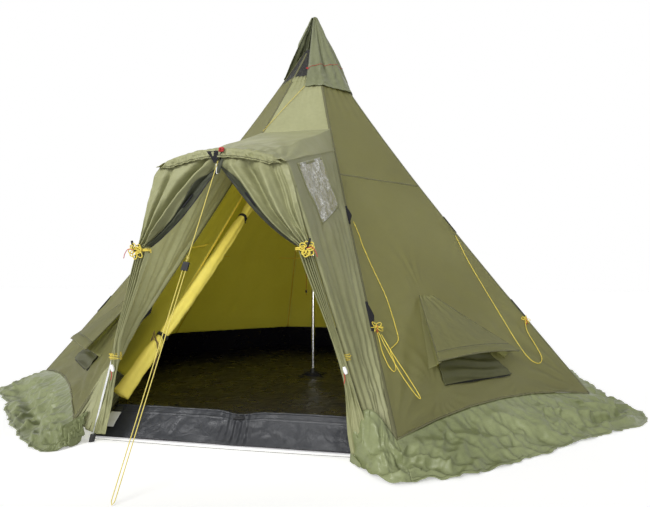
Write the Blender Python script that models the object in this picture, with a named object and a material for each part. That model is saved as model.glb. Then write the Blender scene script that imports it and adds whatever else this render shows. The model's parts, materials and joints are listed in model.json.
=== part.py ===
"""Eight-sided tipi tent: centre pole, outer and inner tent, front porch, snow skirts, vents and cords.

Metres, +Z up. The origin lies on the ground under the centre pole, and the porch faces -Y.
"""

import math

import bmesh
import bpy
from mathutils import Matrix, Vector

# Outer tent
SIDES = 8
BASE_RADIUS = 1.731  # ridge corners at the ground
BODY_APEX = 2.351  # height where the ridges would meet
RIDGE_SAG = 0.0645  # inward hang of a ridge at half its height
RIDGE_SKEW = 0.257  # how far the deepest hang lies towards the ground
PANEL_SAG = 0.006
CLOTH = 0.002
SEAM = 0.0003  # gap that sewn or seated pieces keep
CLOTH_CLEARANCE = 0.0014  # what lies on the cloth keeps clear of its facets
HEM_HEIGHT = 0.092  # panel hem at the corners
HEM_RISE = 0.05  # extra height of the hem between the corners
PANEL_TOP = 2.235
PANEL_ROWS = 6
PANEL_COLUMNS = 6

# Front side, porch roof and peak vent
CREASE_HEIGHT = 1.53  # seam of the porch roof on the front side
ROOF_EAVE_HEIGHT = 1.37  # where the roof's side seams reach the ridges
FRONT_TOP = 1.985
ROOF_SAG = 0.012
ROOF_OVER_BAR = 0.003
ROOF_ROWS = 5
ROOF_COLUMNS = 16
ROOF_RIDGE_COLUMNS = 3  # on each side, these run up the ridge instead of along the crease
EAVE = 0.034  # the roof runs on in front of the crossbar
EAVE_FALL = 0.3
PORCH_SIDE_ROWS = 11
SIDE_BELOW_CORNER = 0.01  # top of a porch side at the leg, under the crossbar's corner
SIDE_BELOW_EAVE = 0.006  # top of a porch side at the ridge, under the roof's seam
SIDE_FOOT = 0.034  # hem of a porch side at the leg
SIDE_BEHIND_LEG = 0.004
SIDE_SEAM = 0.00024  # gap between a porch side and its ridge
LEG_BOW = 0.0015  # a porch side's edge bows out along the leg
WINDOW_SHARES = ((0.13, 0.93), (0.60, 0.93), (0.76, 0.60), (0.27, 0.60))  # shares from leg to ridge, and up
WINDOW_SPAN_SHARE = 0.6  # the shares up run over this much of the side, from its top

# Snow skirts
SKIRT_SPREAD = 0.165  # beyond the ground line of the sides
SKIRT_CLOTH = 0.003
SKIRT_ROWS = 5
SKIRT_COLUMNS = 3 * PANEL_COLUMNS
SKIRT_WAVE = 0.011
SKIRT_EDGE_WAVE = 0.026
SKIRT_DROP = 2.3  # how quickly the skirt falls to the ground

# Porch frame
LEG_FOOT_INSET = 0.087  # foot, inside the front corner of the body
LEG_FOOT_SETBACK = 0.104  # foot, behind the ground line of the front side
ARCH_HALF_WIDTH = 0.249
ARCH_CORNER_HEIGHT = 1.066
ARCH_CROWN_HEIGHT = 1.121
ARCH_LEAN = 0.085  # the top stands this far in front of the feet
POLE_RADIUS = 0.00475
ARCH_BEND = 0.035
POCKET_RADIUS = 0.011
POCKET_HEIGHT = 0.03
POCKET_FLOOR = 0.004
POLE_CLEARANCE = 0.0008
SPACING_CORD_HEIGHT = 0.012
SPACING_CORD_HANG = 0.004
SPACING_CORD_GAP = 0.0007  # from its ends to the pockets

# Centre pole
UPPER_TUBE_RADIUS = 0.0125
UPPER_TUBE_BORE = 0.0111
LOWER_TUBE_RADIUS = 0.0107
UPPER_TUBE_START = 0.15
UPPER_TUBE_END = 2.43
LOWER_TUBE_LENGTH = 0.62
CUP_RADIUS = 0.022
CUP_HEIGHT = 0.05
CUP_FLOOR = 0.006
CUP_FOOT_RADIUS = 0.0352
CUP_FOOT_EDGE = 0.004
CUP_FOOT_HEIGHT = 0.012
CUP_LIP = 0.003
CAP_RADIUS = 0.015
CAP_EDGE = 0.012
CAP_HEIGHT = 0.0475
CAP_PLUG = 0.03  # length inside the tube
PLATE_RADIUS = 0.062
PLATE_THICKNESS = 0.003

# Peak hood
HOOD_TIP = 2.5
HOOD_TIP_RADIUS = 0.013
HOOD_HEM = 1.89
HOOD_HEM_LEFT = 2.03
HOOD_CLEARANCE = 0.005
HOOD_ROWS = 7
HOOD_COLUMNS = 26
HOOD_TOP_SHARE = 0.985  # the cloth ends just short of the tip
HOOD_EDGE_TURN = 0.012  # radians from the middle of the front to the hood's edge
HOOD_CORD_LIFTS = (0.24, 0.30, 0.35, 0.38, 0.39, 0.39, 0.38, 0.36, 0.34)  # shares up the hood, front to left
HOOD_CORD_LOOSE = 0.004

# Inner tent
INNER_INSET = 0.17  # ridge to ridge, at the ground
INNER_TAPER = 0.035  # inset lost for each metre of height
TRAY_HEIGHT = 0.20
TRAY_CLOTH = 0.0025
THRESHOLD_HEIGHT = 0.112
INNER_TOP = 1.98
INNER_DOOR_TOP = 1.45
INNER_CLOTH = 0.002
THRESHOLD_DIP = 0.012
THRESHOLD_DIP_SHARE = 0.06  # of its width
THRESHOLD_WAVE = 0.004
THRESHOLD_INSET = 0.008
THRESHOLD_EDGE = 0.0018
THRESHOLD_THICKENING = 1.25  # times the tray's cloth
ROLL_RADIUS = 0.036
ROLL_TAPER = 0.25
ROLL_HANG = 0.018
ROLL_FOOT_HEIGHT = 0.17
ROLL_FOOT_OFF_CLOTH = 0.03824  # in front of the inner tent's front side
ROLL_FOOT_FROM_RIDGE = 0.01858
ROLL_TOP_ACROSS = -0.066
ROLL_BELOW_DOOR_TOP = 0.02
ROLL_OFF_CLOTH = 0.012
ROLL_TIES = (0.18, 0.66)  # shares of its length, up from the foot
ROLL_PINCH = 0.28
ROLL_PINCH_SHARE = 0.035

# Side vents
VENT_SILL = 0.217
VENT_TOP = 0.555
VENT_FOOT = (-0.285, 0.15)  # across the side, from its centre line
VENT_HEAD = (-0.16, -0.10)
FLAP_TOP = 0.568
FLAP_LENGTH = 0.365
FLAP_FOOT = (-0.335, 0.185)
FLAP_HEAD = (-0.172, -0.088)
FLAP_CLOTH = 0.003
FLAP_STANDOFF = 0.009
FLAP_OPEN = 11.0  # degrees
FLAP_EDGE_BOW = 0.022
GUSSET_CLOTH = 0.0016
GUSSET_INSET = 0.006
GUSSET_GAP = 0.0005
CUTTER_REACH = 0.05  # each way, well through the cloth

# Curtains
TIE_HEIGHT = 0.755
CURTAIN_CLOTH = 0.005
CURTAIN_GAP = 0.008
TIE_WIDTH = 0.05
TIE_RADIUS = 0.0025
TIE_CLEARANCE = 0.0016
FOLD_DEPTH = 0.013
TIE_BAND = 0.018  # height over which the tie holds the cloth to one width
CURTAIN_FOOT_HEIGHT = 0.034
CURTAIN_FOOT_WIDTH = 0.12
CURTAIN_FOLDS = 5.0
CURTAIN_APEX = 1.012  # the door is zipped shut above this
CURTAIN_CLOSED = 0.23  # share of the upper rows in the shut part
CURTAIN_INSIDE_LEG = 0.004
CURTAIN_MEETING = 0.002  # half the gap between the two, at the top
CURTAIN_EDGE_CURVE = 0.45
CURTAIN_FLARE = 1.6
CURTAIN_SWELL = 0.02
CURTAIN_COLUMNS = 18
CURTAIN_TOP_ROWS = 13
CURTAIN_LOW_ROWS = 12

# Cords
GUY_RADIUS = 0.0016
THIN_RADIUS = 0.0013
GUY_TOP = Vector((0.0, -1.625, 1.072))
GUY_FOOT = Vector((-0.153, -1.974, 0.0))
SLIDER_HEIGHT = 0.69
SLIDER_SIZE = (0.022, 0.008, 0.03)
SLIDER_HOLE = 0.0026
STRAND_SPREAD = 0.0055
GUY_OVER_GROUND = 0.0008
BRIDLE_SIZE = (0.085, 0.0022, 0.05)
BRIDLE_GAP = 0.0008
BRIDLE_EDGE = 0.004
BRIDLE_SHOULDER = 0.008
BRIDLE_TIP = 0.006
PULL_TOP = Vector((-0.0225, -0.02, PANEL_TOP - SEAM))
PULL_FOOT = Vector((-0.045, -0.02, 0.545))
TOGGLE_HEIGHT = 0.56
TOGGLE_LENGTH = 0.02
TOGGLE_RADIUS = 0.007
TOGGLE_BEVEL = 0.001

# Routes of the stored guy lines on the front right side: across from its centre line, and height
STORED_FRONT = (
    (-0.352, 0.93), (-0.356, 0.858), (-0.364, 0.812), (-0.369, 0.701), (-0.371, 0.567), (-0.40, 0.437),
    (-0.418, 0.395), (-0.451, 0.378), (-0.484, 0.362), (-0.487, 0.33), (-0.499, 0.295), (-0.514, 0.289),
    (-0.527, 0.31), (-0.527, 0.36), (-0.516, 0.40), (-0.507, 0.44),
)
STORED_REAR = (
    (0.357, 0.898), (0.336, 0.757), (0.331, 0.637), (0.328, 0.47), (0.325, 0.353), (0.338, 0.273),
    (0.384, 0.243), (0.44, 0.265), (0.453, 0.336), (0.457, 0.383), (0.49, 0.43),
)

# Zip of the porch door
ZIP_PULL_ACROSS = -0.008
ZIP_PULL_HEIGHT = 1.062
ZIP_PULL_STANDOFF = 0.02516  # in front of the plane of the crossbar
ZIP_PULL_SIZE = (0.008, 0.0022, 0.034)

HALF_STEP = math.pi / SIDES
UP = Vector((0, 0, 1))


def material(name, colour, roughness, metallic=0.0, alpha=1.0):
    made = bpy.data.materials.new(name)
    made.use_nodes = True
    shader = made.node_tree.nodes["Principled BSDF"]
    shader.inputs["Base Color"].default_value = (*colour, 1)
    shader.inputs["Roughness"].default_value = roughness
    shader.inputs["Metallic"].default_value = metallic
    shader.inputs["Alpha"].default_value = alpha
    return made


def finish(obj, look, smooth=True):
    obj.data.materials.append(look)
    if smooth and obj.type == "MESH":
        obj.data.shade_smooth()
        obj.data.set_sharp_from_angle(angle=math.radians(35))
    return obj


def new_object(name, data, look, smooth=True):
    obj = bpy.data.objects.new(name, data)
    bpy.context.scene.collection.objects.link(obj)
    return finish(obj, look, smooth)


def mesh_object(name, bm, look, smooth=True):
    bmesh.ops.remove_doubles(bm, verts=bm.verts, dist=1e-5)
    bmesh.ops.recalc_face_normals(bm, faces=bm.faces)
    data = bpy.data.meshes.new(name)
    bm.to_mesh(data)
    bm.free()
    return new_object(name, data, look, smooth)


def set_origin(obj, point):
    """Moves an object's origin, as onto the axis that it turns about, and leaves its shape in place."""
    obj.data.transform(Matrix.Translation(-point))
    obj.location = point
    return obj


def cloth(name, outer, inner, look, present=None, wrap=False):
    """A closed sheet between two grids of points; present(row, column) leaves cells out."""
    rows, columns = len(outer), len(outer[0])
    steps = columns if wrap else columns - 1

    def has(i, j):
        if not 0 <= i < rows - 1 or (not wrap and not 0 <= j < steps):
            return False
        return present is None or present(i, j % steps)

    bm = bmesh.new()
    front = [[bm.verts.new(p) for p in row] for row in outer]
    back = [[bm.verts.new(p) for p in row] for row in inner]

    def triangle(a, b, c):
        if len({a, b, c}) == 3:
            bm.faces.new((a, b, c))

    for i in range(rows - 1):
        for j in range(steps):
            if not has(i, j):
                continue
            k = (j + 1) % columns
            for grid, flip in ((front, False), (back, True)):
                a, b, c, d = grid[i][j], grid[i][k], grid[i + 1][k], grid[i + 1][j]
                for corners in ((a, b, c), (a, c, d)):
                    triangle(*(reversed(corners) if flip else corners))
            edges = (
                (has(i - 1, j), (i, k), (i, j)),
                (has(i + 1, j), (i + 1, j), (i + 1, k)),
                (has(i, j - 1), (i, j), (i + 1, j)),
                (has(i, j + 1), (i + 1, k), (i, k)),
            )
            for joined, (r0, c0), (r1, c1) in edges:
                if not joined:
                    triangle(front[r0][c0], front[r1][c1], back[r1][c1])
                    triangle(front[r0][c0], back[r1][c1], back[r0][c0])
    bmesh.ops.delete(bm, geom=[v for v in bm.verts if not v.link_faces], context="VERTS")
    return mesh_object(name, bm, look)


def turned(name, profile, look, segments=16, base=Vector(), lean=(0.0, 0.0)):
    """A closed profile of (radius, height) turned about Z, with its axis leaning in x and y."""
    bm = bmesh.new()
    rings = []
    for radius, height in profile:
        centre = base + Vector((lean[0] * height, lean[1] * height, height))
        count = segments if radius > 1e-6 else 1
        angles = [2 * math.pi * n / segments for n in range(count)]
        rings.append([bm.verts.new(centre + radius * Vector((math.cos(a), math.sin(a), 0))) for a in angles])
    for ring, above in zip(rings, rings[1:] + rings[:1]):
        for n in range(segments):
            corners = [ring[n % len(ring)], ring[(n + 1) % segments % len(ring)]]
            corners += [above[(n + 1) % segments % len(above)], above[n % len(above)]]
            unique = list(dict.fromkeys(corners))
            if len(unique) > 2:
                bm.faces.new(unique)
    return mesh_object(name, bm, look)


def smooth_route(points, spacing):
    """Points along a Catmull-Rom curve through the given ones, about spacing apart."""
    points = [Vector(p) for p in points]
    ends = [2 * points[0] - points[1], *points, 2 * points[-1] - points[-2]]
    route = [points[0]]
    for a, b, c, d in zip(ends, ends[1:], ends[2:], ends[3:]):
        count = max(1, round((c - b).length / spacing))
        for n in range(1, count + 1):
            t = n / count
            bend = (2 * a - 5 * b + 4 * c - d) * t * t + (3 * b - a - 3 * c + d) * t**3
            route.append(0.5 * (2 * b + (c - a) * t + bend))
    return route


def tube(name, points, radius, look, resolution=2, cyclic=False, radii=None):
    data = bpy.data.curves.new(name, "CURVE")
    data.dimensions = "3D"
    data.bevel_depth = radius
    data.bevel_resolution = resolution
    data.use_fill_caps = not cyclic
    line = data.splines.new("POLY")
    line.points.add(len(points) - 1)
    for n, point in enumerate(points):
        line.points[n].co = (*point, 1)
        if radii:
            line.points[n].radius = radii[n]
    line.use_cyclic_u = cyclic
    return new_object(name, data, look, smooth=False)


def solid_tube(name, points, radius, look):
    """The same tube as a mesh, which a Boolean can cut or use."""
    curve = tube(name + "_line", points, radius, look)
    made = bpy.data.objects.new(name, bpy.data.meshes.new_from_object(curve))
    bpy.data.objects.remove(curve, do_unlink=True)
    bpy.context.scene.collection.objects.link(made)
    bm = bmesh.new()
    bm.from_mesh(made.data)
    bmesh.ops.remove_doubles(bm, verts=bm.verts, dist=1e-5)
    bmesh.ops.recalc_face_normals(bm, faces=bm.faces)
    bm.to_mesh(made.data)
    bm.free()
    return made


def inset_for(thickness, lean_rise, lean_run):
    """Horizontal inset of the corners that gives the leaning sides this thickness."""
    return thickness / (math.cos(math.atan2(lean_run, lean_rise)) * math.cos(HALF_STEP))


def ridge_radius(z):
    s = 1 - z / BODY_APEX
    return BASE_RADIUS * s - 4 * RIDGE_SAG * s * (1 - s) * (1 + RIDGE_SKEW * (1 - 2 * s))


def corner_direction(corner):
    angle = -math.pi / 2 + (2 * corner + 1) * HALF_STEP
    return Vector((math.cos(angle), math.sin(angle), 0))


def side_direction(side):
    angle = -math.pi / 2 + 2 * (side + 1) * HALF_STEP
    return Vector((math.cos(angle), math.sin(angle), 0))


def ridge_point(corner, z, inset=0.0):
    return corner_direction(corner) * (ridge_radius(z) - inset) + z * UP


def side_point(side, u, z, inset=0.0, gap=SEAM):
    """A point on a side, u from one ridge to the next, with the edges half a gap short of the ridges."""
    a = ridge_point(side, z, inset)
    b = ridge_point(side + 1, z, inset)
    along = (b - a).normalized() * gap / 2
    sag = PANEL_SAG * 4 * u * (1 - u) * min(1.0, (b - a).length / BASE_RADIUS)
    return (a + along).lerp(b - along, u) - side_direction(side) * sag


def side_normal(side, z):
    step = 0.01
    fall = (ridge_radius(z - step) - ridge_radius(z + step)) * math.cos(HALF_STEP) / (2 * step)
    return (side_direction(side) + fall * UP).normalized()


def on_side(side, across, z, out=0.0, mirror=1):
    """A point on the flat of a side, across metres from its centre line, out metres off the cloth."""
    direction = side_direction(side)
    tangent = UP.cross(direction) * mirror
    flat = direction * ridge_radius(z) * math.cos(HALF_STEP)
    return flat + tangent * across + z * UP + side_normal(side, z) * out


def on_cloth(side, across, z, out=0.0):
    """The same, measured from the cloth, which hangs in a little between its ridges."""
    width = 2 * ridge_radius(z) * math.sin(HALF_STEP)
    u = 0.5 + across / width
    sag = PANEL_SAG * 4 * u * (1 - u) * min(1.0, width / BASE_RADIUS)
    return on_side(side, across, z, out) - side_direction(side) * sag


def panel_grid(side, inset, low, high, rows=PANEL_ROWS, columns=PANEL_COLUMNS):
    grid = []
    for i in range(rows + 1):
        v = i / rows
        row = []
        for j in range(columns + 1):
            u = j / columns
            z = low(u) * (1 - v) + high * v
            row.append(side_point(side, u, z, inset))
        grid.append(row)
    return grid


def panel_hem(u):
    """Height of a panel's lower edge, straight from one column of its grid to the next."""
    place = u * PANEL_COLUMNS
    left = min(PANEL_COLUMNS - 1, int(place + 1e-6))
    ends = [4 * n / PANEL_COLUMNS * (1 - n / PANEL_COLUMNS) for n in (left, left + 1)]
    return HEM_HEIGHT + HEM_RISE * (ends[0] + (ends[1] - ends[0]) * (place - left))


def hide(obj):
    obj.hide_render = True
    obj.display_type = "WIRE"
    return obj


def prism(name, outline, depth_vector):
    """A cutter: the outline's loop swept both ways along a vector."""
    bm = bmesh.new()
    near = [bm.verts.new(p - depth_vector) for p in outline]
    far = [bm.verts.new(p + depth_vector) for p in outline]
    bm.faces.new(near)
    bm.faces.new(reversed(far))
    for n in range(len(near)):
        m = (n + 1) % len(near)
        bm.faces.new((near[m], near[n], far[n], far[m]))
    return hide(mesh_object(name, bm, LOOKS["guide"], smooth=False))


def boolean(obj, cutter, operation="DIFFERENCE"):
    modifier = obj.modifiers.new(operation.title(), "BOOLEAN")
    modifier.operation = operation
    modifier.object = cutter


def insert_of(name, panel, outline, depth_vector, look):
    """Cuts the outline from the panel and fills the hole with a piece that stays a gap clear."""
    centre = sum(outline, Vector()) / len(outline)
    smaller = [p + (centre - p).normalized() * SEAM * 2.5 for p in outline]
    piece = bpy.data.objects.new(name, panel.data.copy())
    piece.data.materials.clear()
    bpy.context.scene.collection.objects.link(piece)
    finish(piece, look)
    boolean(piece, prism(name + "_guide", smaller, depth_vector), "INTERSECT")
    boolean(panel, prism(name + "_cutter", outline, depth_vector))
    return piece


def outer_panels():
    inset = inset_for(CLOTH, BODY_APEX, BASE_RADIUS)
    names = ("front_right", "right", "back_right", "back", "back_left", "left", "front_left")
    panels = {}
    for side, place in enumerate(names):
        top = FRONT_TOP if place == "front_left" else PANEL_TOP
        outer = panel_grid(side, 0.0, panel_hem, top)
        inner = panel_grid(side, inset, panel_hem, top)
        panels[place] = cloth("panel_" + place, outer, inner, LOOKS["shell"])
    outer = panel_grid(7, 0.0, lambda u: CREASE_HEIGHT, FRONT_TOP, 3)
    inner = panel_grid(7, inset, lambda u: CREASE_HEIGHT, FRONT_TOP, 3)
    panels["front"] = cloth("front_panel", outer, inner, LOOKS["shell"])
    return panels


def peak_mesh():
    """The vent's netting closes the top of the front and front left sides, round the ridge between them."""
    inset = inset_for(CLOTH, BODY_APEX, BASE_RADIUS)
    rows, columns = 3, 3
    grids = []
    for depth in (0.0, inset):
        left = panel_grid(6, depth, lambda u: FRONT_TOP + SEAM, PANEL_TOP, rows, columns)
        front = panel_grid(7, depth, lambda u: FRONT_TOP + SEAM, PANEL_TOP, rows, columns)
        grids.append([a[:-1] + [ridge_point(7, b[0].z, depth)] + b[1:] for a, b in zip(left, front)])
    cloth("peak_mesh", *grids, LOOKS["net"])


def skirts():
    """Each skirt goes on down from its panel's hem and then lies on the ground in low waves."""
    names = ("front_right", "right", "back_right", "back", "back_left", "left", "front_left")
    for side, place in enumerate(names):
        top, under = [], []
        for i in range(SKIRT_ROWS + 1):
            v = i / SKIRT_ROWS
            upper_row, under_row = [], []
            for j in range(SKIRT_COLUMNS + 1):
                u = j / SKIRT_COLUMNS
                upper_row.append(skirt_point(side, u, v))
                low = upper_row[-1].z - SKIRT_CLOTH * (1.0 if v > 0 else 1.6)
                under_row.append(Vector((*upper_row[-1].xy, max(0.0, low))))
            top.append(upper_row)
            under.append(under_row)
        cloth("snow_skirt_" + place, top, under, LOOKS["skirt"])


def skirt_point(side, u, v):
    hem = panel_hem(u) - SEAM
    start = side_point(side, u, hem)
    reach = (BASE_RADIUS * math.cos(HALF_STEP) + SKIRT_SPREAD) / math.cos(HALF_STEP)
    a = corner_direction(side) * reach
    b = corner_direction(side + 1) * reach
    along = (b - a).normalized() * SEAM / 2
    ends = math.sin(math.pi * u) ** 0.5 if 0 < u < 1 else 0.0
    edge = SKIRT_EDGE_WAVE * math.sin(7.3 * u * math.pi + side) * ends
    rim = (a + along).lerp(b - along, u) + side_direction(side) * edge
    flat = start.xy.lerp(rim.xy, v)
    fold = math.sin(u * math.pi * 11 + side * 1.7 + 2.2 * v) + 0.6 * math.sin(u * math.pi * 5 - 3 * v + side)
    lift = SKIRT_WAVE * fold * math.sin(math.pi * min(1.0, v * 1.15)) * ends
    height = (hem - SKIRT_CLOTH) * (1 - v) ** SKIRT_DROP + SKIRT_CLOTH + lift
    return Vector((*flat, hem if v == 0 else max(SKIRT_CLOTH, height)))


def leg_foot(mirror):
    front = BASE_RADIUS * math.cos(HALF_STEP)
    side = BASE_RADIUS * math.sin(HALF_STEP)
    return Vector((mirror * (side - LEG_FOOT_INSET), -front + LEG_FOOT_SETBACK, 0))


def leg_top(mirror):
    foot = leg_foot(mirror)
    return Vector((mirror * ARCH_HALF_WIDTH, foot.y - ARCH_LEAN, ARCH_CORNER_HEIGHT))


def leg_point(mirror, z):
    """A point on the line of a leg at a height."""
    return leg_foot(mirror).lerp(leg_top(mirror), z / ARCH_CORNER_HEIGHT)


def arch_point(t, lift=0.0, forward=0.0):
    """The crossbar's line, t from -1 at the left corner to 1 at the right one."""
    y = leg_top(1).y
    rise = (ARCH_CROWN_HEIGHT - ARCH_CORNER_HEIGHT) * (1 - t * t)
    return Vector((ARCH_HALF_WIDTH * t, y - forward, ARCH_CORNER_HEIGHT + rise + lift))


def porch_frame():
    for mirror, place in ((-1, "left"), (1, "right")):
        foot, top = leg_foot(mirror), leg_top(mirror)
        direction = (top - foot) / ARCH_CORNER_HEIGHT
        lean = (direction.x, direction.y)
        stretch = math.hypot(1, *lean)
        bore = POLE_RADIUS * stretch + POLE_CLEARANCE
        profile = [(0, 0), (POCKET_RADIUS, 0), (POCKET_RADIUS, POCKET_HEIGHT)]
        profile += [(bore, POCKET_HEIGHT), (bore, POCKET_FLOOR), (0, POCKET_FLOOR)]
        turned("leg_pocket_" + place, profile, LOOKS["webbing"], 12, foot, lean)
        low, high = POCKET_FLOOR + SEAM, ARCH_CORNER_HEIGHT - ARCH_BEND * 2
        radius = POLE_RADIUS * stretch
        profile = [(0, low), (radius, low), (radius, high), (0, high)]
        turned("porch_leg_" + place, profile, LOOKS["pole"], 10, foot, lean)
    flat = ARCH_CORNER_HEIGHT - ARCH_BEND * 2 + SEAM
    points = [leg_point(-1, flat), leg_point(-1, ARCH_CORNER_HEIGHT - ARCH_BEND)]
    points += [arch_point(t) for t in (-0.86, -0.6, -0.3, 0, 0.3, 0.6, 0.86)]
    points += [leg_point(1, ARCH_CORNER_HEIGHT - ARCH_BEND), leg_point(1, flat)]
    bar = solid_tube("porch_arch_bar", smooth_route(points, 0.03), POLE_RADIUS, LOOKS["pole"])
    below = [Vector((x, y, flat - CUTTER_REACH)) for x, y in ((-1, -3), (1, -3), (1, -1), (-1, -1))]
    boolean(bar, prism("arch_end_cutter", below, UP * CUTTER_REACH))
    left, right = leg_foot(-1), leg_foot(1)
    reach = Vector((POCKET_RADIUS + SPACING_CORD_GAP, 0, SPACING_CORD_HEIGHT))
    lean = (left - leg_top(-1)).x / ARCH_CORNER_HEIGHT * reach.z
    a = left + Vector((reach.x - lean, 0, reach.z))
    b = right + Vector((lean - reach.x, 0, reach.z))
    middle = [a.lerp(b, t) - UP * SPACING_CORD_HANG * math.sin(math.pi * t) for t in (0.25, 0.5, 0.75)]
    tube("leg_spacing_cord", smooth_route([a, *middle, b], 0.05), THIN_RADIUS, LOOKS["grey_cord"])


def porch_cover():
    roof_outer, roof_inner = [], []
    columns, ridge_columns = ROOF_COLUMNS, ROOF_RIDGE_COLUMNS
    lift = POLE_RADIUS + CLOTH + ROOF_OVER_BAR - EAVE_FALL * EAVE
    for i in range(ROOF_ROWS + 1):
        v = i / ROOF_ROWS
        outer_row = []
        for j in range(columns + 1):
            t = 2 * j / columns - 1
            front = arch_point(t, lift, forward=EAVE)
            near = min(j, columns - j)
            if near <= ridge_columns:
                z = ROOF_EAVE_HEIGHT + (CREASE_HEIGHT - ROOF_EAVE_HEIGHT) * near / ridge_columns
                corner = 7 if j < columns / 2 else 0
                back = ridge_point(corner, z)
            else:
                back = side_point(7, (j - ridge_columns) / (columns - 2 * ridge_columns), CREASE_HEIGHT)
            point = front.lerp(back + corner_ease(back), v)
            point.z -= ROOF_SAG * math.sin(math.pi * v) * (1 - t * t)
            outer_row.append(point)
        roof_outer.append(outer_row)
        roof_inner.append([p - UP * CLOTH for p in outer_row])
    cloth("porch_roof", roof_outer, roof_inner, LOOKS["shell"])


def corner_ease(point):
    """Keeps the roof's back edge a seam's gap off the body."""
    return Vector((-math.copysign(SEAM * 2, point.x) if abs(point.x) > 0.1 else 0, -SEAM * 2, -SEAM))


def porch_sides():
    """Each side of the porch is stretched from its leg to the ridge behind; the right one has a window."""
    for mirror, place, corner in ((-1, "left", 7), (1, "right", 0)):
        leg_edge, ridge_edge = porch_side_edges(mirror, corner)
        normals = row_normals(leg_edge, ridge_edge, mirror)
        outer, inner = [], []
        for i, (leg, ridge, normal) in enumerate(zip(leg_edge, ridge_edge, normals)):
            bowed = leg + normal * LEG_BOW * math.sin(math.pi * i / PORCH_SIDE_ROWS)
            half = normal * CLOTH / 2
            outer.append([bowed + half, ridge + half])
            inner.append([bowed - half, ridge - half])
        side = cloth("porch_side_" + place, outer, inner, LOOKS["shell"])
        if place == "right":
            outline = [porch_side_point(outer, u, v) for u, v in WINDOW_SHARES]
            insert_of("porch_window", side, outline, normals[0] * CUTTER_REACH, LOOKS["clear"])


def row_normals(left_edge, right_edge, mirror):
    """The outward direction of a cloth stretched between two edges, row by row, as it turns on its way down."""
    normals = []
    last_row = len(left_edge) - 1
    for i, (left, right) in enumerate(zip(left_edge, right_edge)):
        above, below = max(0, i - 1), min(last_row, i + 1)
        down = left_edge[below] - left_edge[above] + right_edge[below] - right_edge[above]
        normals.append((right - left).cross(down).normalized())
    if normals[0].x * mirror < 0:
        normals = [-normal for normal in normals]
    return normals


def porch_side_edges(mirror, corner):
    """Points down a porch side's edge along the leg, and down its edge along the ridge."""
    across = UP.cross(corner_direction(corner)) * (-mirror)
    leg_top_z, ridge_top_z = ARCH_CORNER_HEIGHT - SIDE_BELOW_CORNER, ROOF_EAVE_HEIGHT - SIDE_BELOW_EAVE
    leg_edge, ridge_edge = [], []
    for i in range(PORCH_SIDE_ROWS + 1):
        v = i / PORCH_SIDE_ROWS
        leg = leg_point(mirror, leg_top_z + (SIDE_FOOT - leg_top_z) * v)
        leg_edge.append(leg + Vector((mirror * (POLE_RADIUS + CLOTH), SIDE_BEHIND_LEG, 0)))
        ridge = ridge_point(corner, ridge_top_z + (HEM_HEIGHT - ridge_top_z) * v)
        ridge_edge.append(ridge + across * (CLOTH / 2 + SIDE_SEAM))
    return leg_edge, ridge_edge


def porch_side_point(grid, u, v):
    """A point on the porch side: u from leg to ridge, v up from the foot of the window's span."""
    rows = len(grid) - 1
    place = (1 - v) * rows * WINDOW_SPAN_SHARE
    i = min(rows - 1, int(place))
    t = place - i
    left = grid[i][0].lerp(grid[i + 1][0], t)
    right = grid[i][-1].lerp(grid[i + 1][-1], t)
    return left.lerp(right, u)


def curtain_edges(mirror, v):
    """A curtain's edge at the leg and its inner edge, as (x, z): v 0 to 1 above the tie, 1 to 2 below it."""
    if v <= 1:
        top = ARCH_CORNER_HEIGHT - SEAM
        neck = TIE_HEIGHT + TIE_BAND / 2
        z_leg = top + (neck - top) * v
        leg = leg_point(1, z_leg).x - CURTAIN_INSIDE_LEG
        x, z = CURTAIN_MEETING, ARCH_CROWN_HEIGHT - SEAM
        if v < CURTAIN_CLOSED:
            z += (CURTAIN_APEX - z) * v / CURTAIN_CLOSED
        else:
            s = (v - CURTAIN_CLOSED) / (1 - CURTAIN_CLOSED)
            straight = (1 - CURTAIN_EDGE_CURVE) * s
            x += (leg_point(1, TIE_HEIGHT).x - TIE_WIDTH - x) * (straight + CURTAIN_EDGE_CURVE * s**2)
            curve = CURTAIN_EDGE_CURVE * math.sin(s * math.pi / 2)
            z = CURTAIN_APEX + (neck - CURTAIN_APEX) * (straight + curve)
        return (mirror * leg, z_leg), (mirror * x, z)
    w = v - 1
    neck = TIE_HEIGHT - TIE_BAND / 2
    z = neck + (CURTAIN_FOOT_HEIGHT - neck) * w
    leg = leg_point(1, z).x - CURTAIN_INSIDE_LEG
    width = TIE_WIDTH + (CURTAIN_FOOT_WIDTH - TIE_WIDTH) * w**CURTAIN_FLARE
    return (mirror * leg, z), (mirror * (leg - width), z)


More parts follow.
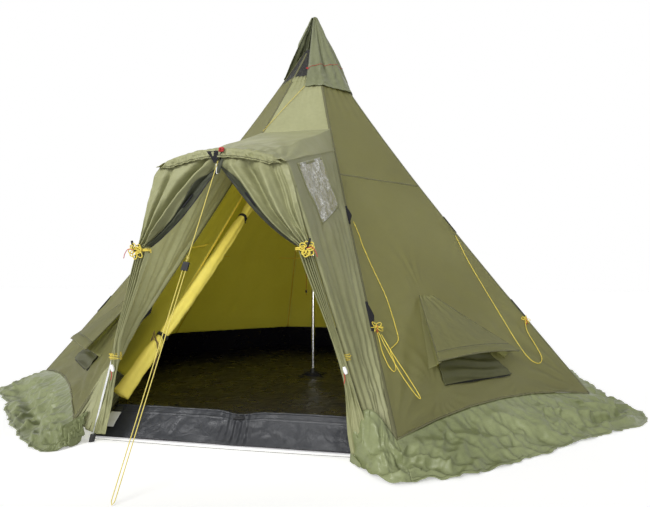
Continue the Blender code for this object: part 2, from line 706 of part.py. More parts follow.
def curtains():
    """Door curtains hang from the crossbar, are drawn to the legs and fall beside them."""
    rows = CURTAIN_TOP_ROWS + CURTAIN_LOW_ROWS
    for mirror, place in ((-1, "left"), (1, "right")):
        front, back = [], []
        for i in range(rows + 1):
            if i <= CURTAIN_TOP_ROWS:
                v = i / CURTAIN_TOP_ROWS
            else:
                v = 1 + (i - CURTAIN_TOP_ROWS - 1) / (CURTAIN_LOW_ROWS - 1) + 1e-9
            outer_edge, inner_edge = curtain_edges(mirror, v)
            front_row = []
            for j in range(CURTAIN_COLUMNS + 1):
                u = j / CURTAIN_COLUMNS
                x = outer_edge[0] + (inner_edge[0] - outer_edge[0]) * u
                z = outer_edge[1] + (inner_edge[1] - outer_edge[1]) * u
                if v < 1:
                    arch = arch_point(min(1.0, abs(x) / ARCH_HALF_WIDTH)).z - SEAM
                    z += (arch - (outer_edge[1] * (1 - u) + inner_edge[1] * u)) * (1 - v) ** 3
                plane = leg_point(1, min(z, ARCH_CORNER_HEIGHT)).y
                depth = FOLD_DEPTH * min(1.0, v * 1.2) * (1.0 if v < 1 else 1 - 0.25 * (v - 1))
                fold = depth * math.sin(u * CURTAIN_FOLDS * 2 * math.pi + 0.6)
                swell = CURTAIN_SWELL * math.sin(math.pi * u) * math.sin(math.pi * min(1.0, v))
                gap = SEAM + (CURTAIN_GAP - SEAM) * min(1.0, v * 5)
                y = plane - POLE_RADIUS - gap - CURTAIN_CLOTH - depth + fold - swell
                front_row.append(Vector((x, y, z)))
            front.append(front_row)
            back.append([p + Vector((0, CURTAIN_CLOTH, 0)) for p in front_row])
        cloth("door_curtain_" + place, front, back, LOOKS["shell"])


def curtain_ties():
    """A cord loop draws each curtain and its leg together."""
    for mirror, place in ((-1, "left"), (1, "right")):
        deep = FOLD_DEPTH + CURTAIN_CLOTH / 2
        centre = leg_point(mirror, TIE_HEIGHT)
        inside = CURTAIN_INSIDE_LEG + TIE_WIDTH / 2
        centre += Vector((-mirror * inside, -POLE_RADIUS - CURTAIN_GAP - deep, 0))
        half = (TIE_WIDTH / 2 + TIE_RADIUS + TIE_CLEARANCE, deep + TIE_RADIUS + TIE_CLEARANCE * 0.7)
        loop = []
        for n in range(24):
            angle = 2 * math.pi * (n + 0.5) / 24
            round_x = math.copysign(abs(math.cos(angle)) ** 0.5, math.cos(angle)) * half[0]
            round_y = math.copysign(abs(math.sin(angle)) ** 0.5, math.sin(angle)) * half[1]
            loop.append(centre + Vector((round_x, round_y, 0.0)))
        tube("curtain_tie_" + place, loop, TIE_RADIUS, LOOKS["yellow_cord"], 1, cyclic=True)


def inner_inset(z):
    return INNER_INSET - INNER_TAPER * z


def inner_point(corner, z, extra=0.0):
    return ridge_point(corner, z, inner_inset(z) + extra)


def inner_tent():
    tray_inset = inset_for(TRAY_CLOTH, BODY_APEX, BASE_RADIUS)
    corners = range(SIDES)
    under = [[Vector() for _ in corners], [inner_point(k, 0) for k in corners]]
    under += [[inner_point(k, TRAY_HEIGHT) for k in corners]]
    top = [[UP * TRAY_CLOTH for _ in corners], [inner_point(k, TRAY_CLOTH, tray_inset) for k in corners]]
    top += [[inner_point(k, TRAY_HEIGHT, tray_inset) for k in corners]]
    cloth("bathtub_floor", under, top, LOOKS["floor"], lambda i, j: i == 0 or j != 7, wrap=True)
    outer, inner = [], []
    for z in (TRAY_CLOTH + SEAM, THRESHOLD_HEIGHT):
        outer.append([threshold_point(n / 8, z, 0) for n in range(9)])
        inner.append([threshold_point(n / 8, z, TRAY_CLOTH) for n in range(9)])
    cloth("door_threshold", outer, inner, LOOKS["threshold"])
    cloth_inset = inset_for(INNER_CLOTH, BODY_APEX, BASE_RADIUS)
    heights = [TRAY_HEIGHT + SEAM, 0.55, 0.95, INNER_DOOR_TOP, INNER_TOP]
    outer = [[inner_point(k, z) for k in corners] for z in heights]
    inner = [[inner_point(k, z, cloth_inset) for k in corners] for z in heights]
    cloth("inner_tent", outer, inner, LOOKS["inner"], lambda i, j: i == 3 or j != 7, wrap=True)


def threshold_point(u, z, inward):
    """The low front wall of the tray, drawn down at its middle."""
    dip = THRESHOLD_DIP * math.exp(-((u - 0.5) / THRESHOLD_DIP_SHARE) ** 2) if z > TRAY_HEIGHT / 2 else 0
    left = inner_point(7, z, THRESHOLD_INSET)
    right = inner_point(8, z, THRESHOLD_INSET)
    edge = (right - left).normalized() * THRESHOLD_EDGE
    point = (left + edge).lerp(right - edge, u)
    wave = THRESHOLD_WAVE * math.sin(u * 9 * math.pi) * (z / THRESHOLD_HEIGHT)
    return point + Vector((0, inward * THRESHOLD_THICKENING + wave, -dip))


def door_roll():
    """The inner door, rolled up and lying along the sloping front of the inner tent."""
    ridge = inner_point(7, ROLL_FOOT_HEIGHT)
    foot = ridge + Vector((ROLL_FOOT_FROM_RIDGE, -ROLL_FOOT_OFF_CLOTH, 0))
    ridge = inner_point(7, INNER_DOOR_TOP - ROLL_BELOW_DOOR_TOP)
    top = Vector((ROLL_TOP_ACROSS, ridge.y - ROLL_OFF_CLOTH, ridge.z))
    axis = (top - foot).normalized()
    side = axis.cross(Vector((0, -1, 0))).normalized()
    front = side.cross(axis)
    rings, segments, stations = [], 14, 16
    bm = bmesh.new()
    for i in range(stations + 1):
        v = i / stations
        pinch = 1 - ROLL_PINCH * sum(math.exp(-((v - tie) / ROLL_PINCH_SHARE) ** 2) for tie in ROLL_TIES)
        centre = foot.lerp(top, v) - UP * ROLL_HANG * math.sin(math.pi * v)
        ring = []
        for n in range(segments):
            angle = 2 * math.pi * n / segments
            lobe = 1 + 0.13 * math.cos(3 * angle + 4 * v) + 0.05 * math.cos(5 * angle - 7 * v)
            radius = ROLL_RADIUS * pinch * lobe * (1 - ROLL_TAPER * v)
            offset = side * math.cos(angle) + front * math.sin(angle)
            ring.append(bm.verts.new(centre + offset * radius))
        rings.append(ring)
    for ring, above in zip(rings, rings[1:]):
        for n in range(segments):
            m = (n + 1) % segments
            bm.faces.new((ring[n], ring[m], above[m], above[n]))
    bm.faces.new(reversed(rings[0]))
    bm.faces.new(rings[-1])
    mesh_object("inner_door_roll", bm, LOOKS["inner"])


def centre_pole():
    """Two tubes, one in the other, on a foot cup and under a cap that carries the peak plate."""
    bore = LOWER_TUBE_RADIUS + POLE_CLEARANCE
    base = UP * (TRAY_CLOTH + SEAM)
    profile = [(0, 0), (CUP_FOOT_RADIUS, 0), (CUP_FOOT_RADIUS, CUP_FOOT_EDGE), (CUP_RADIUS, CUP_FOOT_HEIGHT)]
    profile += [(bore + CUP_LIP, CUP_HEIGHT), (bore, CUP_HEIGHT), (bore, CUP_FLOOR), (0, CUP_FLOOR)]
    turned("pole_foot_cup", profile, LOOKS["rubber"], 20, base)
    foot = base.z + CUP_FLOOR + SEAM
    profile = [(0, foot), (LOWER_TUBE_RADIUS, foot), (LOWER_TUBE_RADIUS, foot + LOWER_TUBE_LENGTH)]
    profile += [(0, foot + LOWER_TUBE_LENGTH)]
    turned("centre_pole_lower", profile, LOOKS["pole"], 20)
    profile = [(UPPER_TUBE_RADIUS, UPPER_TUBE_START), (UPPER_TUBE_RADIUS, UPPER_TUBE_END)]
    profile += [(UPPER_TUBE_BORE, UPPER_TUBE_END), (UPPER_TUBE_BORE, UPPER_TUBE_START)]
    turned("centre_pole_upper", profile, LOOKS["pole"], 20)
    top = UPPER_TUBE_END + SEAM
    plug = UPPER_TUBE_BORE - SEAM
    profile = [(0, top - CAP_PLUG), (plug, top - CAP_PLUG), (plug, top), (CAP_RADIUS, top)]
    profile += [(CAP_RADIUS * 0.93, top + CAP_EDGE), (CAP_RADIUS * 0.47, top + CAP_HEIGHT * 0.9)]
    profile += [(0, top + CAP_HEIGHT)]
    turned("pole_top_cap", profile, LOOKS["rubber"], 16)
    bore = UPPER_TUBE_RADIUS + SEAM
    low = PANEL_TOP + SEAM
    high = low + PLATE_THICKNESS
    profile = [(bore, low), (PLATE_RADIUS, low), (PLATE_RADIUS, high), (bore, high)]
    turned("peak_plate", profile, LOOKS["webbing"], 24)


def hood_radius(angle, z):
    """The hood is a straight cone from its hem on the body up to the tip."""
    hem = hood_hem(angle)
    step = 2 * HALF_STEP
    turn = (angle + math.pi / 2 + HALF_STEP) % step - HALF_STEP
    start = ridge_radius(hem) * math.cos(HALF_STEP) / math.cos(turn) + HOOD_CLEARANCE
    s = (HOOD_TIP - z) / (HOOD_TIP - hem)
    return HOOD_TIP_RADIUS + (start - HOOD_TIP_RADIUS) * s


def hood_hem(angle):
    """The hem climbs on the left, where the vent is open."""
    share = min(1.0, max(0.0, (angle - math.pi / 4) / (math.pi * 0.75)))
    return HOOD_HEM + (HOOD_HEM_LEFT - HOOD_HEM) * share


def hood_point(angle, v, out=0.0):
    z = hood_hem(angle) * (1 - v) + HOOD_TIP * v
    radius = hood_radius(angle, z) + out
    return Vector((radius * math.cos(angle), radius * math.sin(angle), z))


def peak_hood():
    """The hood wraps the peak from the middle of the front round to the left, with a cord tied about it."""
    start, end = -math.pi / 2 + HOOD_EDGE_TURN, math.pi + HALF_STEP
    angles = [start + (end - start) * j / HOOD_COLUMNS for j in range(HOOD_COLUMNS + 1)]
    outer, inner = [], []
    for i in range(HOOD_ROWS + 1):
        v = min(HOOD_TOP_SHARE, 1 - (1 - i / HOOD_ROWS) ** 1.15)
        outer.append([hood_point(a, v) for a in angles])
        inner.append([hood_point(a, v, -CLOTH) for a in angles])
    cloth("peak_hood", outer, inner, LOOKS["shell"])
    route = []
    steps = len(HOOD_CORD_LIFTS) - 1
    for n, lift in enumerate(HOOD_CORD_LIFTS):
        angle = start + 0.02 + (end - start - 0.04) * n / steps
        route.append((angle, lift))
    points = []
    out = THIN_RADIUS + HOOD_CORD_LOOSE
    for n in range(49):
        place = n / 48 * steps
        i = min(steps - 1, int(place))
        t = place - i
        angle = route[i][0] * (1 - t) + route[i + 1][0] * t
        points.append(hood_point(angle, route[i][1] * (1 - t) + route[i + 1][1] * t, out))
    tube("hood_tie_cord", points, THIN_RADIUS, LOOKS["red_cord"], 1)
    a = hood_point(start, 0.01, THIN_RADIUS + SEAM * 2)
    b = ridge_point(7, CREASE_HEIGHT + 0.012) + corner_direction(7) * (THIN_RADIUS + SEAM * 7)
    middle = [a.lerp(b, t) + side_normal(7, a.z) * 0.0025 for t in (0.3, 0.6)]
    tube("hood_guy_line", smooth_route([a, *middle, b], 0.03), THIN_RADIUS, LOOKS["yellow_cord"])


def vent(side, mirror, place, panel):
    """A netted hole in a side under a stiff flap that hinges at its head and stands open on two gussets."""
    def at(across, z, out=0.0):
        return on_side(side, across, z, out, mirror)

    normal = side_normal(side, (VENT_SILL + VENT_TOP) / 2)
    outline = [at(VENT_FOOT[0], VENT_SILL), at(VENT_FOOT[1], VENT_SILL)]
    outline += [at(VENT_HEAD[1], VENT_TOP), at(VENT_HEAD[0], VENT_TOP)]
    insert_of("vent_mesh_" + place, panel, outline, normal * CUTTER_REACH, LOOKS["net"])
    head = [at(across, FLAP_TOP, FLAP_STANDOFF) for across in FLAP_HEAD]
    axis = (head[1] - head[0]).normalized()
    down = at(0, FLAP_TOP - 0.1) - at(0, FLAP_TOP)
    down = (down - axis * down.dot(axis)).normalized()
    out = axis.cross(down)
    if out.dot(normal) < 0:
        out = -out
    open_angle = math.radians(FLAP_OPEN)
    slope = down * math.cos(open_angle) + out * math.sin(open_angle)
    rise = out * math.cos(open_angle) - down * math.sin(open_angle)
    middle = (head[0] + head[1]) / 2
    centre = (FLAP_HEAD[0] + FLAP_HEAD[1]) / 2
    way = 1 if axis.dot(at(1, 0.4) - at(0, 0.4)) > 0 else -1
    top_grid, under_grid = [], []
    rows, columns = 5, 8
    for i in range(rows + 1):
        v = i / rows
        row = []
        for j in range(columns + 1):
            u = j / columns
            head_x = FLAP_HEAD[0] + (FLAP_HEAD[1] - FLAP_HEAD[0]) * u
            foot_x = FLAP_FOOT[0] + (FLAP_FOOT[1] - FLAP_FOOT[0]) * u
            across = (head_x + (foot_x - head_x) * v - centre) * way
            bow = FLAP_EDGE_BOW * math.sin(math.pi * u) * v
            row.append(middle + axis * across + slope * (FLAP_LENGTH * v) + rise * bow)
        top_grid.append([p + rise * FLAP_CLOTH for p in row])
        under_grid.append(row)
    set_origin(cloth("vent_flap_" + place, top_grid, under_grid, LOOKS["shell"]), middle)
    edge_in = GUSSET_CLOTH / 2 + GUSSET_INSET
    for end, name in ((0, "front"), (-1, "rear")):
        upper, lower = [], []
        for i in range(rows + 1):
            v = max(0.06, i / rows * 0.97)
            flap = under_grid_point(under_grid, v, end)
            inward = (under_grid_point(under_grid, v, 4) - flap).normalized()
            flap = flap + inward * edge_in - rise * GUSSET_GAP
            gap = (flap - cloth_below(side, flap)).dot(normal)
            wall = flap - normal * (gap - CLOTH_CLEARANCE)
            half = inward * GUSSET_CLOTH / 2
            upper.append([flap + half, wall + half])
            lower.append([flap - half, wall - half])
        cloth(f"vent_gusset_{place}_{name}", upper, lower, LOOKS["shell"])
    print(f"vent_flap_{place} hinge at", [round(c, 5) for c in middle], "axis", [round(c, 5) for c in axis])


def under_grid_point(grid, v, column):
    place = v * (len(grid) - 1)
    i = min(len(grid) - 2, int(place))
    return grid[i][column].lerp(grid[i + 1][column], place - i)


def cloth_below(side, point):
    """The point of the side's cloth at the same height and the same distance across."""
    return on_cloth(side, point.dot(UP.cross(side_direction(side))), point.z)


def main_guy():
    """The front guy: a webbing bridle on the crossbar, a single line, a slider and a doubled line."""
    direction = (GUY_FOOT - GUY_TOP).normalized()
    wide, thick, tall = BRIDLE_SIZE
    crown = arch_point(0, forward=EAVE + BRIDLE_GAP)
    bm = bmesh.new()
    right_half = [(wide / 2, BRIDLE_EDGE), (wide / 2 - BRIDLE_TIP, -BRIDLE_SHOULDER), (BRIDLE_TIP, -tall)]
    outline = right_half + [(-x, z) for x, z in reversed(right_half)]
    layers = [[bm.verts.new(crown + Vector((x, y, z))) for x, z in outline] for y in (-thick, 0)]
    bm.faces.new(layers[0])
    bm.faces.new(reversed(layers[1]))
    for n in range(len(outline)):
        m = (n + 1) % len(outline)
        bm.faces.new((layers[0][m], layers[0][n], layers[1][n], layers[1][m]))
    mesh_object("guy_bridle", bm, LOOKS["webbing"], smooth=False)
    start = crown + Vector((0, -thick - GUY_RADIUS - SEAM, -tall + BRIDLE_TIP))
    slider = GUY_TOP.lerp(GUY_FOOT, (GUY_TOP.z - SLIDER_HEIGHT) / (GUY_TOP.z - GUY_FOOT.z))
    end = slider - direction * (SLIDER_SIZE[2] / 2 + SEAM)
    route = smooth_route([start, start.lerp(end, 0.5), end], 0.03)
    tube("guy_line_upper", route, GUY_RADIUS, LOOKS["yellow_cord"])
    across = direction.cross(Vector((0, -1, 0))).normalized()
    depth = across.cross(direction)
    bm = bmesh.new()
    bmesh.ops.create_cube(bm, size=1)
    frame = Matrix((across * SLIDER_SIZE[0], depth * SLIDER_SIZE[1], direction * SLIDER_SIZE[2])).transposed()
    bmesh.ops.transform(bm, matrix=Matrix.Translation(slider) @ frame.to_4x4(), verts=bm.verts)
    body = mesh_object("guy_slider", bm, LOOKS["plastic"], smooth=False)
    top = slider - direction * (SLIDER_SIZE[2] / 2 - 0.006)
    foot = GUY_FOOT + UP * (GUY_RADIUS + GUY_OVER_GROUND) - direction * 0.02
    left = [top + across * STRAND_SPREAD, foot + across * STRAND_SPREAD]
    right = [top - across * STRAND_SPREAD, foot - across * STRAND_SPREAD]
    for strand, way in ((left, 1), (right, -1)):
        ends = [strand[0] - direction * 0.03, strand[0] + direction * 0.06]
        boolean(body, hide(solid_tube(f"slider_hole_{way}", ends, SLIDER_HOLE, LOOKS["guide"])))
    toe = foot + Vector((0, -0.012, 0))
    toe.z = GUY_RADIUS + GUY_OVER_GROUND
    run = [left[0].lerp(left[1], n / 12) for n in range(13)]
    back = [right[1].lerp(right[0], n / 12) for n in range(13)]
    tube("guy_line_lower", [*run, toe, *back], GUY_RADIUS, LOOKS["yellow_cord"])
    print_least_gap("guy_line_lower", [*run, toe, *back], GUY_RADIUS)
    print("guy slider axis", [round(c, 5) for c in direction])


def print_least_gap(name, points, radius):
    """Prints how near a looped cord comes to itself, away from its own next few centimetres."""
    along = [0.0]
    for a, b in zip(points, points[1:]):
        along.append(along[-1] + (b - a).length)
    gaps = []
    for n, point in enumerate(points):
        for m in range(n):
            if along[n] - along[m] > 0.05:
                gaps.append((point - points[m]).length - 2 * radius)
    print(f"{name} least gap to itself: {min(gaps) * 1000:.1f} mm")


def side_guys():
    """Stored guy lines that hang from tabs on the ridges against the front right side."""
    off = GUY_RADIUS + CLOTH_CLEARANCE
    for place, places, spacing in (("front", STORED_FRONT, 0.016), ("rear", STORED_REAR, 0.018)):
        route = smooth_route([on_cloth(0, across, z, off) for across, z in places], spacing)
        tube("side_guy_" + place, route, GUY_RADIUS, LOOKS["yellow_cord"], 1)
        print_least_gap("side_guy_" + place, route, GUY_RADIUS)


def pull_cord():
    """The vent's pull cord hangs from the peak plate beside the pole, with a toggle on it."""
    points = [PULL_TOP.lerp(PULL_FOOT, n / 24) for n in range(25)]
    tube("vent_pull_cord", points, THIN_RADIUS, LOOKS["red_cord"], 1)
    bore = THIN_RADIUS + POLE_CLEARANCE
    end = TOGGLE_RADIUS - TOGGLE_BEVEL
    low, high = TOGGLE_BEVEL * 3, TOGGLE_LENGTH - TOGGLE_BEVEL * 3
    profile = [(end, 0), (TOGGLE_RADIUS, low), (TOGGLE_RADIUS, high), (end, TOGGLE_LENGTH)]
    profile += [(bore, TOGGLE_LENGTH), (bore, 0)]
    run = PULL_TOP - PULL_FOOT
    base = PULL_FOOT + run * ((TOGGLE_HEIGHT - PULL_FOOT.z) / run.z)
    turned("cord_toggle", profile, LOOKS["plastic"], 12, base, (run.x / run.z, run.y / run.z))


def zip_pull():
    """The porch door's zip slider with its pull, parked at the top of the door."""
    bm = bmesh.new()
    bmesh.ops.create_cube(bm, size=1)
    bmesh.ops.scale(bm, vec=ZIP_PULL_SIZE, verts=bm.verts)
    bmesh.ops.translate(bm, vec=(0, 0, -ZIP_PULL_SIZE[2] / 2), verts=bm.verts)
    pull = mesh_object("zip_pull", bm, LOOKS["white_plastic"], smooth=False)
    pull.location = (ZIP_PULL_ACROSS, leg_top(1).y - ZIP_PULL_STANDOFF, ZIP_PULL_HEIGHT)


for old in list(bpy.data.objects):
    bpy.data.objects.remove(old, do_unlink=True)

LOOKS = {
    "shell": material("shell_cloth", (0.19, 0.20, 0.11), 0.62),
    "skirt": material("skirt_cloth", (0.12, 0.15, 0.07), 0.45),
    "inner": material("inner_cloth", (0.75, 0.62, 0.12), 0.7),
    "floor": material("floor_cloth", (0.015, 0.014, 0.013), 0.45),
    "threshold": material("threshold_cloth", (0.08, 0.09, 0.11), 0.5),
    "net": material("netting", (0.01, 0.01, 0.01), 0.8),
    "pole": material("pole_aluminium", (0.75, 0.76, 0.78), 0.3, 1.0),
    "rubber": material("black_rubber", (0.02, 0.02, 0.02), 0.7),
    "webbing": material("black_webbing", (0.015, 0.015, 0.02), 0.8),
    "plastic": material("black_plastic", (0.03, 0.03, 0.03), 0.4),
    "white_plastic": material("white_plastic", (0.8, 0.8, 0.78), 0.4),
    "clear": material("clear_pvc", (0.8, 0.82, 0.8), 0.15, 0.0, 0.35),
    "yellow_cord": material("yellow_cord", (0.75, 0.62, 0.12), 0.6),
    "red_cord": material("red_cord", (0.5, 0.04, 0.03), 0.6),
    "grey_cord": material("grey_cord", (0.3, 0.3, 0.3), 0.6),
    "guide": material("guide", (1.0, 0.0, 1.0), 0.5),
}

PANELS = outer_panels()
peak_mesh()
skirts()
porch_frame()
porch_cover()
porch_sides()
curtains()
curtain_ties()
inner_tent()
door_roll()
centre_pole()
peak_hood()
vent(0, 1, "right", PANELS["front_right"])
vent(6, -1, "left", PANELS["front_left"])
main_guy()
side_guys()
pull_cord()
zip_pull()
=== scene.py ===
"""Looks of the eight-sided tipi tent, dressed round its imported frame.

Metres, +Z up. The origin lies on the ground under the centre pole, and the porch faces -Y.
"""

import json
import math

import bpy
from mathutils import Matrix, Vector, noise

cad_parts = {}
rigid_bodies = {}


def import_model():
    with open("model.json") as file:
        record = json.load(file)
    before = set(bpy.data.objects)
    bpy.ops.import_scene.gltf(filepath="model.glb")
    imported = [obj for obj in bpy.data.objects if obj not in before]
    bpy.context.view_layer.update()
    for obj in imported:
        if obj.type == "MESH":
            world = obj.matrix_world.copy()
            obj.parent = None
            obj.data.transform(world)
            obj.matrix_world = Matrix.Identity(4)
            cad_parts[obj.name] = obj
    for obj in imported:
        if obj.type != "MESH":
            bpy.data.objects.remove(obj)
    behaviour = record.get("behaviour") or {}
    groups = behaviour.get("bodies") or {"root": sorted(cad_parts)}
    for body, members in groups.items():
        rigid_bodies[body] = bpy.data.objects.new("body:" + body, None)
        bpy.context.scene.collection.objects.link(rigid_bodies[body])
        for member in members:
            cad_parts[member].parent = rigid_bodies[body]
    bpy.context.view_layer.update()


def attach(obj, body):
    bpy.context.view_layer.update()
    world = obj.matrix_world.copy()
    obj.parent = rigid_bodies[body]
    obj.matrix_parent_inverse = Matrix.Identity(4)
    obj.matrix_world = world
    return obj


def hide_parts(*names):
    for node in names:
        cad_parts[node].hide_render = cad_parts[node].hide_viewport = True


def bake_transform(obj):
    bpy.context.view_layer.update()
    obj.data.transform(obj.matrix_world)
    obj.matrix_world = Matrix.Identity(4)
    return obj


# Sides count from the front right one round to the front, and ridge n is where side n begins
SIDES = 8
HALF_STEP = math.pi / SIDES
FRONT_RIGHT, FRONT_LEFT, FRONT = 0, 6, 7
RIGHT_RIDGE, LEFT_RIDGE = 0, 7

# Outer tent, as in the CAD source
BASE_RADIUS = 1.731
BODY_APEX = 2.351
RIDGE_SAG = 0.0645
RIDGE_SKEW = 0.257
PANEL_SAG = 0.006
HEM_HEIGHT = 0.092
HEM_RISE = 0.05
HEM_COLUMNS = 6
PANEL_TOP = 2.235
CREASE_HEIGHT = 1.53
ROOF_EAVE_HEIGHT = 1.37
FRONT_TOP = 1.985
ROOF_SAG = 0.012
EAVE = 0.034
EAVE_FALL = 0.3
CLOTH = 0.002
SEAM = 0.0003

# Snow skirts
SKIRT_CLOTH = 0.003
SKIRT_RIM = 1.735
RIM_AT_CORNERS = {RIGHT_RIDGE: 1.80, LEFT_RIDGE: 1.775}
RIM_AT_OTHER_CORNERS = 1.875
SKIRT_LENGTH = 1.35
SKIRT_WIDTH = 0.26

# Porch frame
LEG_FOOT_INSET = 0.087
LEG_FOOT_SETBACK = 0.104
ARCH_HALF_WIDTH = 0.249
ARCH_CORNER_HEIGHT = 1.066
ARCH_CROWN_HEIGHT = 1.121
ARCH_LEAN = 0.085
POLE_RADIUS = 0.00475

# Peak hood
HOOD_TIP = 2.5
HOOD_TIP_RADIUS = 0.013
HOOD_HEM = 1.89
HOOD_HEM_LEFT = 2.03
HOOD_CLEARANCE = 0.005
HOOD_START = -math.pi / 2 + 0.012
HOOD_END = math.pi + HALF_STEP

# Inner tent
INNER_INSET = 0.17
INNER_TAPER = 0.035
TRAY_HEIGHT = 0.20
TRAY_CLOTH = 0.0025
THRESHOLD_HEIGHT = 0.112
INNER_TOP = 1.98
INNER_DOOR_TOP = 1.45
ROLL_RADIUS = 0.036
ROLL_FOOT = Vector((-0.528, -1.3578, 0.17))

# Side vents
VENT_SILL = 0.217
VENT_TOP = 0.555
VENT_MIDDLE = (VENT_SILL + VENT_TOP) / 2
VENT_FOOT = (-0.285, 0.15)
VENT_HEAD = (-0.16, -0.10)
FLAP_TOP = 0.568
FLAP_LENGTH = 0.365
FLAP_FOOT = (-0.335, 0.185)
FLAP_HEAD = (-0.172, -0.088)
FLAP_STANDOFF = 0.009
FLAP_OPEN = 11.0
FLAP_EDGE_BOW = 0.022

# Curtains
TIE_HEIGHT = 0.755
TIE_WIDTH = 0.05
TIE_BAND = 0.018
FOLD_DEPTH = 0.013
CURTAIN_GAP = 0.008
CURTAIN_CLOTH = 0.005
CURTAIN_FOOT_HEIGHT = 0.034
CURTAIN_FOOT_WIDTH = 0.085
CURTAIN_APEX = 1.012
CURTAIN_CLOSED = 0.23

# Cords
GUY_RADIUS = 0.0016
THIN_RADIUS = 0.0013
TIE_RADIUS = 0.0025
GUY_TOP = Vector((0.0, -1.625, 1.072))
GUY_FOOT = Vector((-0.153, -1.974, 0.0))
SLIDER_HEIGHT = 0.69
SLIDER_LENGTH = 0.03
STRAND_SPREAD = 0.0055
PULL_CORD_END = 0.545
ZIP_PULL_TOP = Vector((-0.008, -1.6054, 1.062))
PULL_CLEARANCE = 0.014

# Heights of the webbing tabs on the ridges
TAB_HEIGHTS = (0.967, 0.495)

UP = Vector((0, 0, 1))

# Sign of X and name of each half of the tent
HALVES = ((-1, "left"), (1, "right"))

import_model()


# Small helpers


def smooth(low, high, x):
    """Eases from 0 at low to 1 at high."""
    t = min(1.0, max(0.0, (x - low) / (high - low)))
    return t * t * (3 - 2 * t)


def bow(t):
    """A parabola: 0 at both ends, 1 half way."""
    return 4 * t * (1 - t)


def hump(x, middle, width):
    """1 at the middle, falling off to 0 on both sides."""
    return math.exp(-((x - middle) / width) ** 2)


def sewn(u, rise=9):
    """0 at both edges of a cloth, where it is sewn down, and 1 over most of it."""
    return min(1.0, rise * u * (1 - u))


def span(low, high, count):
    """Evenly spaced numbers, both ends included."""
    return [low + (high - low) * n / (count - 1) for n in range(count)]


def circle(count):
    """Angles round a full turn."""
    return [2 * math.pi * n / count for n in range(count)]


# Shape of the tent


def ridge_radius(z):
    """How far a ridge is from the centre: it hangs in, a little more above half way."""
    s = 1 - z / BODY_APEX
    return BASE_RADIUS * s - 4 * RIDGE_SAG * s * (1 - s) * (1 + RIDGE_SKEW * (1 - 2 * s))


def corner_direction(corner):
    angle = -math.pi / 2 + (2 * corner + 1) * HALF_STEP
    return Vector((math.cos(angle), math.sin(angle), 0))


def side_direction(side):
    angle = -math.pi / 2 + 2 * (side + 1) * HALF_STEP
    return Vector((math.cos(angle), math.sin(angle), 0))


def ridge_point(corner, z, inset=0.0):
    """A point on a ridge, or inset metres inside it."""
    return corner_direction(corner) * (ridge_radius(z) - inset) + z * UP


def side_width(z, inset=0.0):
    return 2 * (ridge_radius(z) - inset) * math.sin(HALF_STEP)


def side_point(side, u, z, inset=0.0, gap=SEAM):
    """A point on a side, u from one ridge to the next."""
    a = ridge_point(side, z, inset)
    b = ridge_point(side + 1, z, inset)
    along = (b - a).normalized() * gap / 2
    sag = PANEL_SAG * bow(u) * min(1.0, (b - a).length / BASE_RADIUS)
    return (a + along).lerp(b - along, u) - side_direction(side) * sag


def side_normal(side, z):
    """A side's outward way at this height."""
    step = 0.01
    fall = (ridge_radius(z - step) - ridge_radius(z + step)) * math.cos(HALF_STEP) / (2 * step)
    return (side_direction(side) + fall * UP).normalized()


def on_side(side, across, z, out=0.0, mirror=1):
    """A point on the flat of a side, across metres from its centre line, out metres off the cloth."""
    direction = side_direction(side)
    tangent = UP.cross(direction) * mirror
    flat = direction * ridge_radius(z) * math.cos(HALF_STEP)
    return flat + tangent * across + z * UP + side_normal(side, z) * out


def on_cloth(side, across, z, out=0.0):
    """The same on the cloth as it sags between the ridges."""
    width = side_width(z)
    u = 0.5 + across / width
    sag = PANEL_SAG * bow(u) * min(1.0, width / BASE_RADIUS)
    return on_side(side, across, z, out) - side_direction(side) * sag


def panel_hem(u):
    """Height of a side's hem, which rises towards its middle."""
    place = u * HEM_COLUMNS
    left = min(HEM_COLUMNS - 1, int(place + 1e-6))
    ends = [bow(n / HEM_COLUMNS) for n in (left, left + 1)]
    return HEM_HEIGHT + HEM_RISE * (ends[0] + (ends[1] - ends[0]) * (place - left))


def leg_foot(mirror):
    front = BASE_RADIUS * math.cos(HALF_STEP)
    side = BASE_RADIUS * math.sin(HALF_STEP)
    return Vector((mirror * (side - LEG_FOOT_INSET), -front + LEG_FOOT_SETBACK, 0))


def leg_top(mirror):
    foot = leg_foot(mirror)
    return Vector((mirror * ARCH_HALF_WIDTH, foot.y - ARCH_LEAN, ARCH_CORNER_HEIGHT))


def leg_point(mirror, z):
    """A point on a porch leg at this height."""
    return leg_foot(mirror).lerp(leg_top(mirror), z / ARCH_CORNER_HEIGHT)


def arch_point(t, lift=0.0, forward=0.0):
    """A point on the crossbar: t from -1 at the left leg to 1 at the right one."""
    y = leg_top(1).y
    rise = (ARCH_CROWN_HEIGHT - ARCH_CORNER_HEIGHT) * (1 - t * t)
    return Vector((ARCH_HALF_WIDTH * t, y - forward, ARCH_CORNER_HEIGHT + rise + lift))


def inner_inset(z):
    """How far the inner tent's ridges are inside the outer ones."""
    return INNER_INSET - INNER_TAPER * z


def inner_point(corner, z, extra=0.0):
    return ridge_point(corner, z, inner_inset(z) + extra)


# Noise and routes


def shifted(point, scale, seed):
    return Vector(point) * scale + Vector((seed * 7.31, seed * 3.17 + 11.3, seed * 5.73 - 4.1))


def ripple(point, scale, seed):
    """Soft noise from -1 to 1."""
    return noise.noise(shifted(point, scale, seed))


def crease(point, scale, seed):
    """Noise with sharp ridges, from 0 to 1, as in cloth that was crushed."""
    return 1 - min(1.0, abs(noise.noise(shifted(point, scale, seed))) * 2.2)


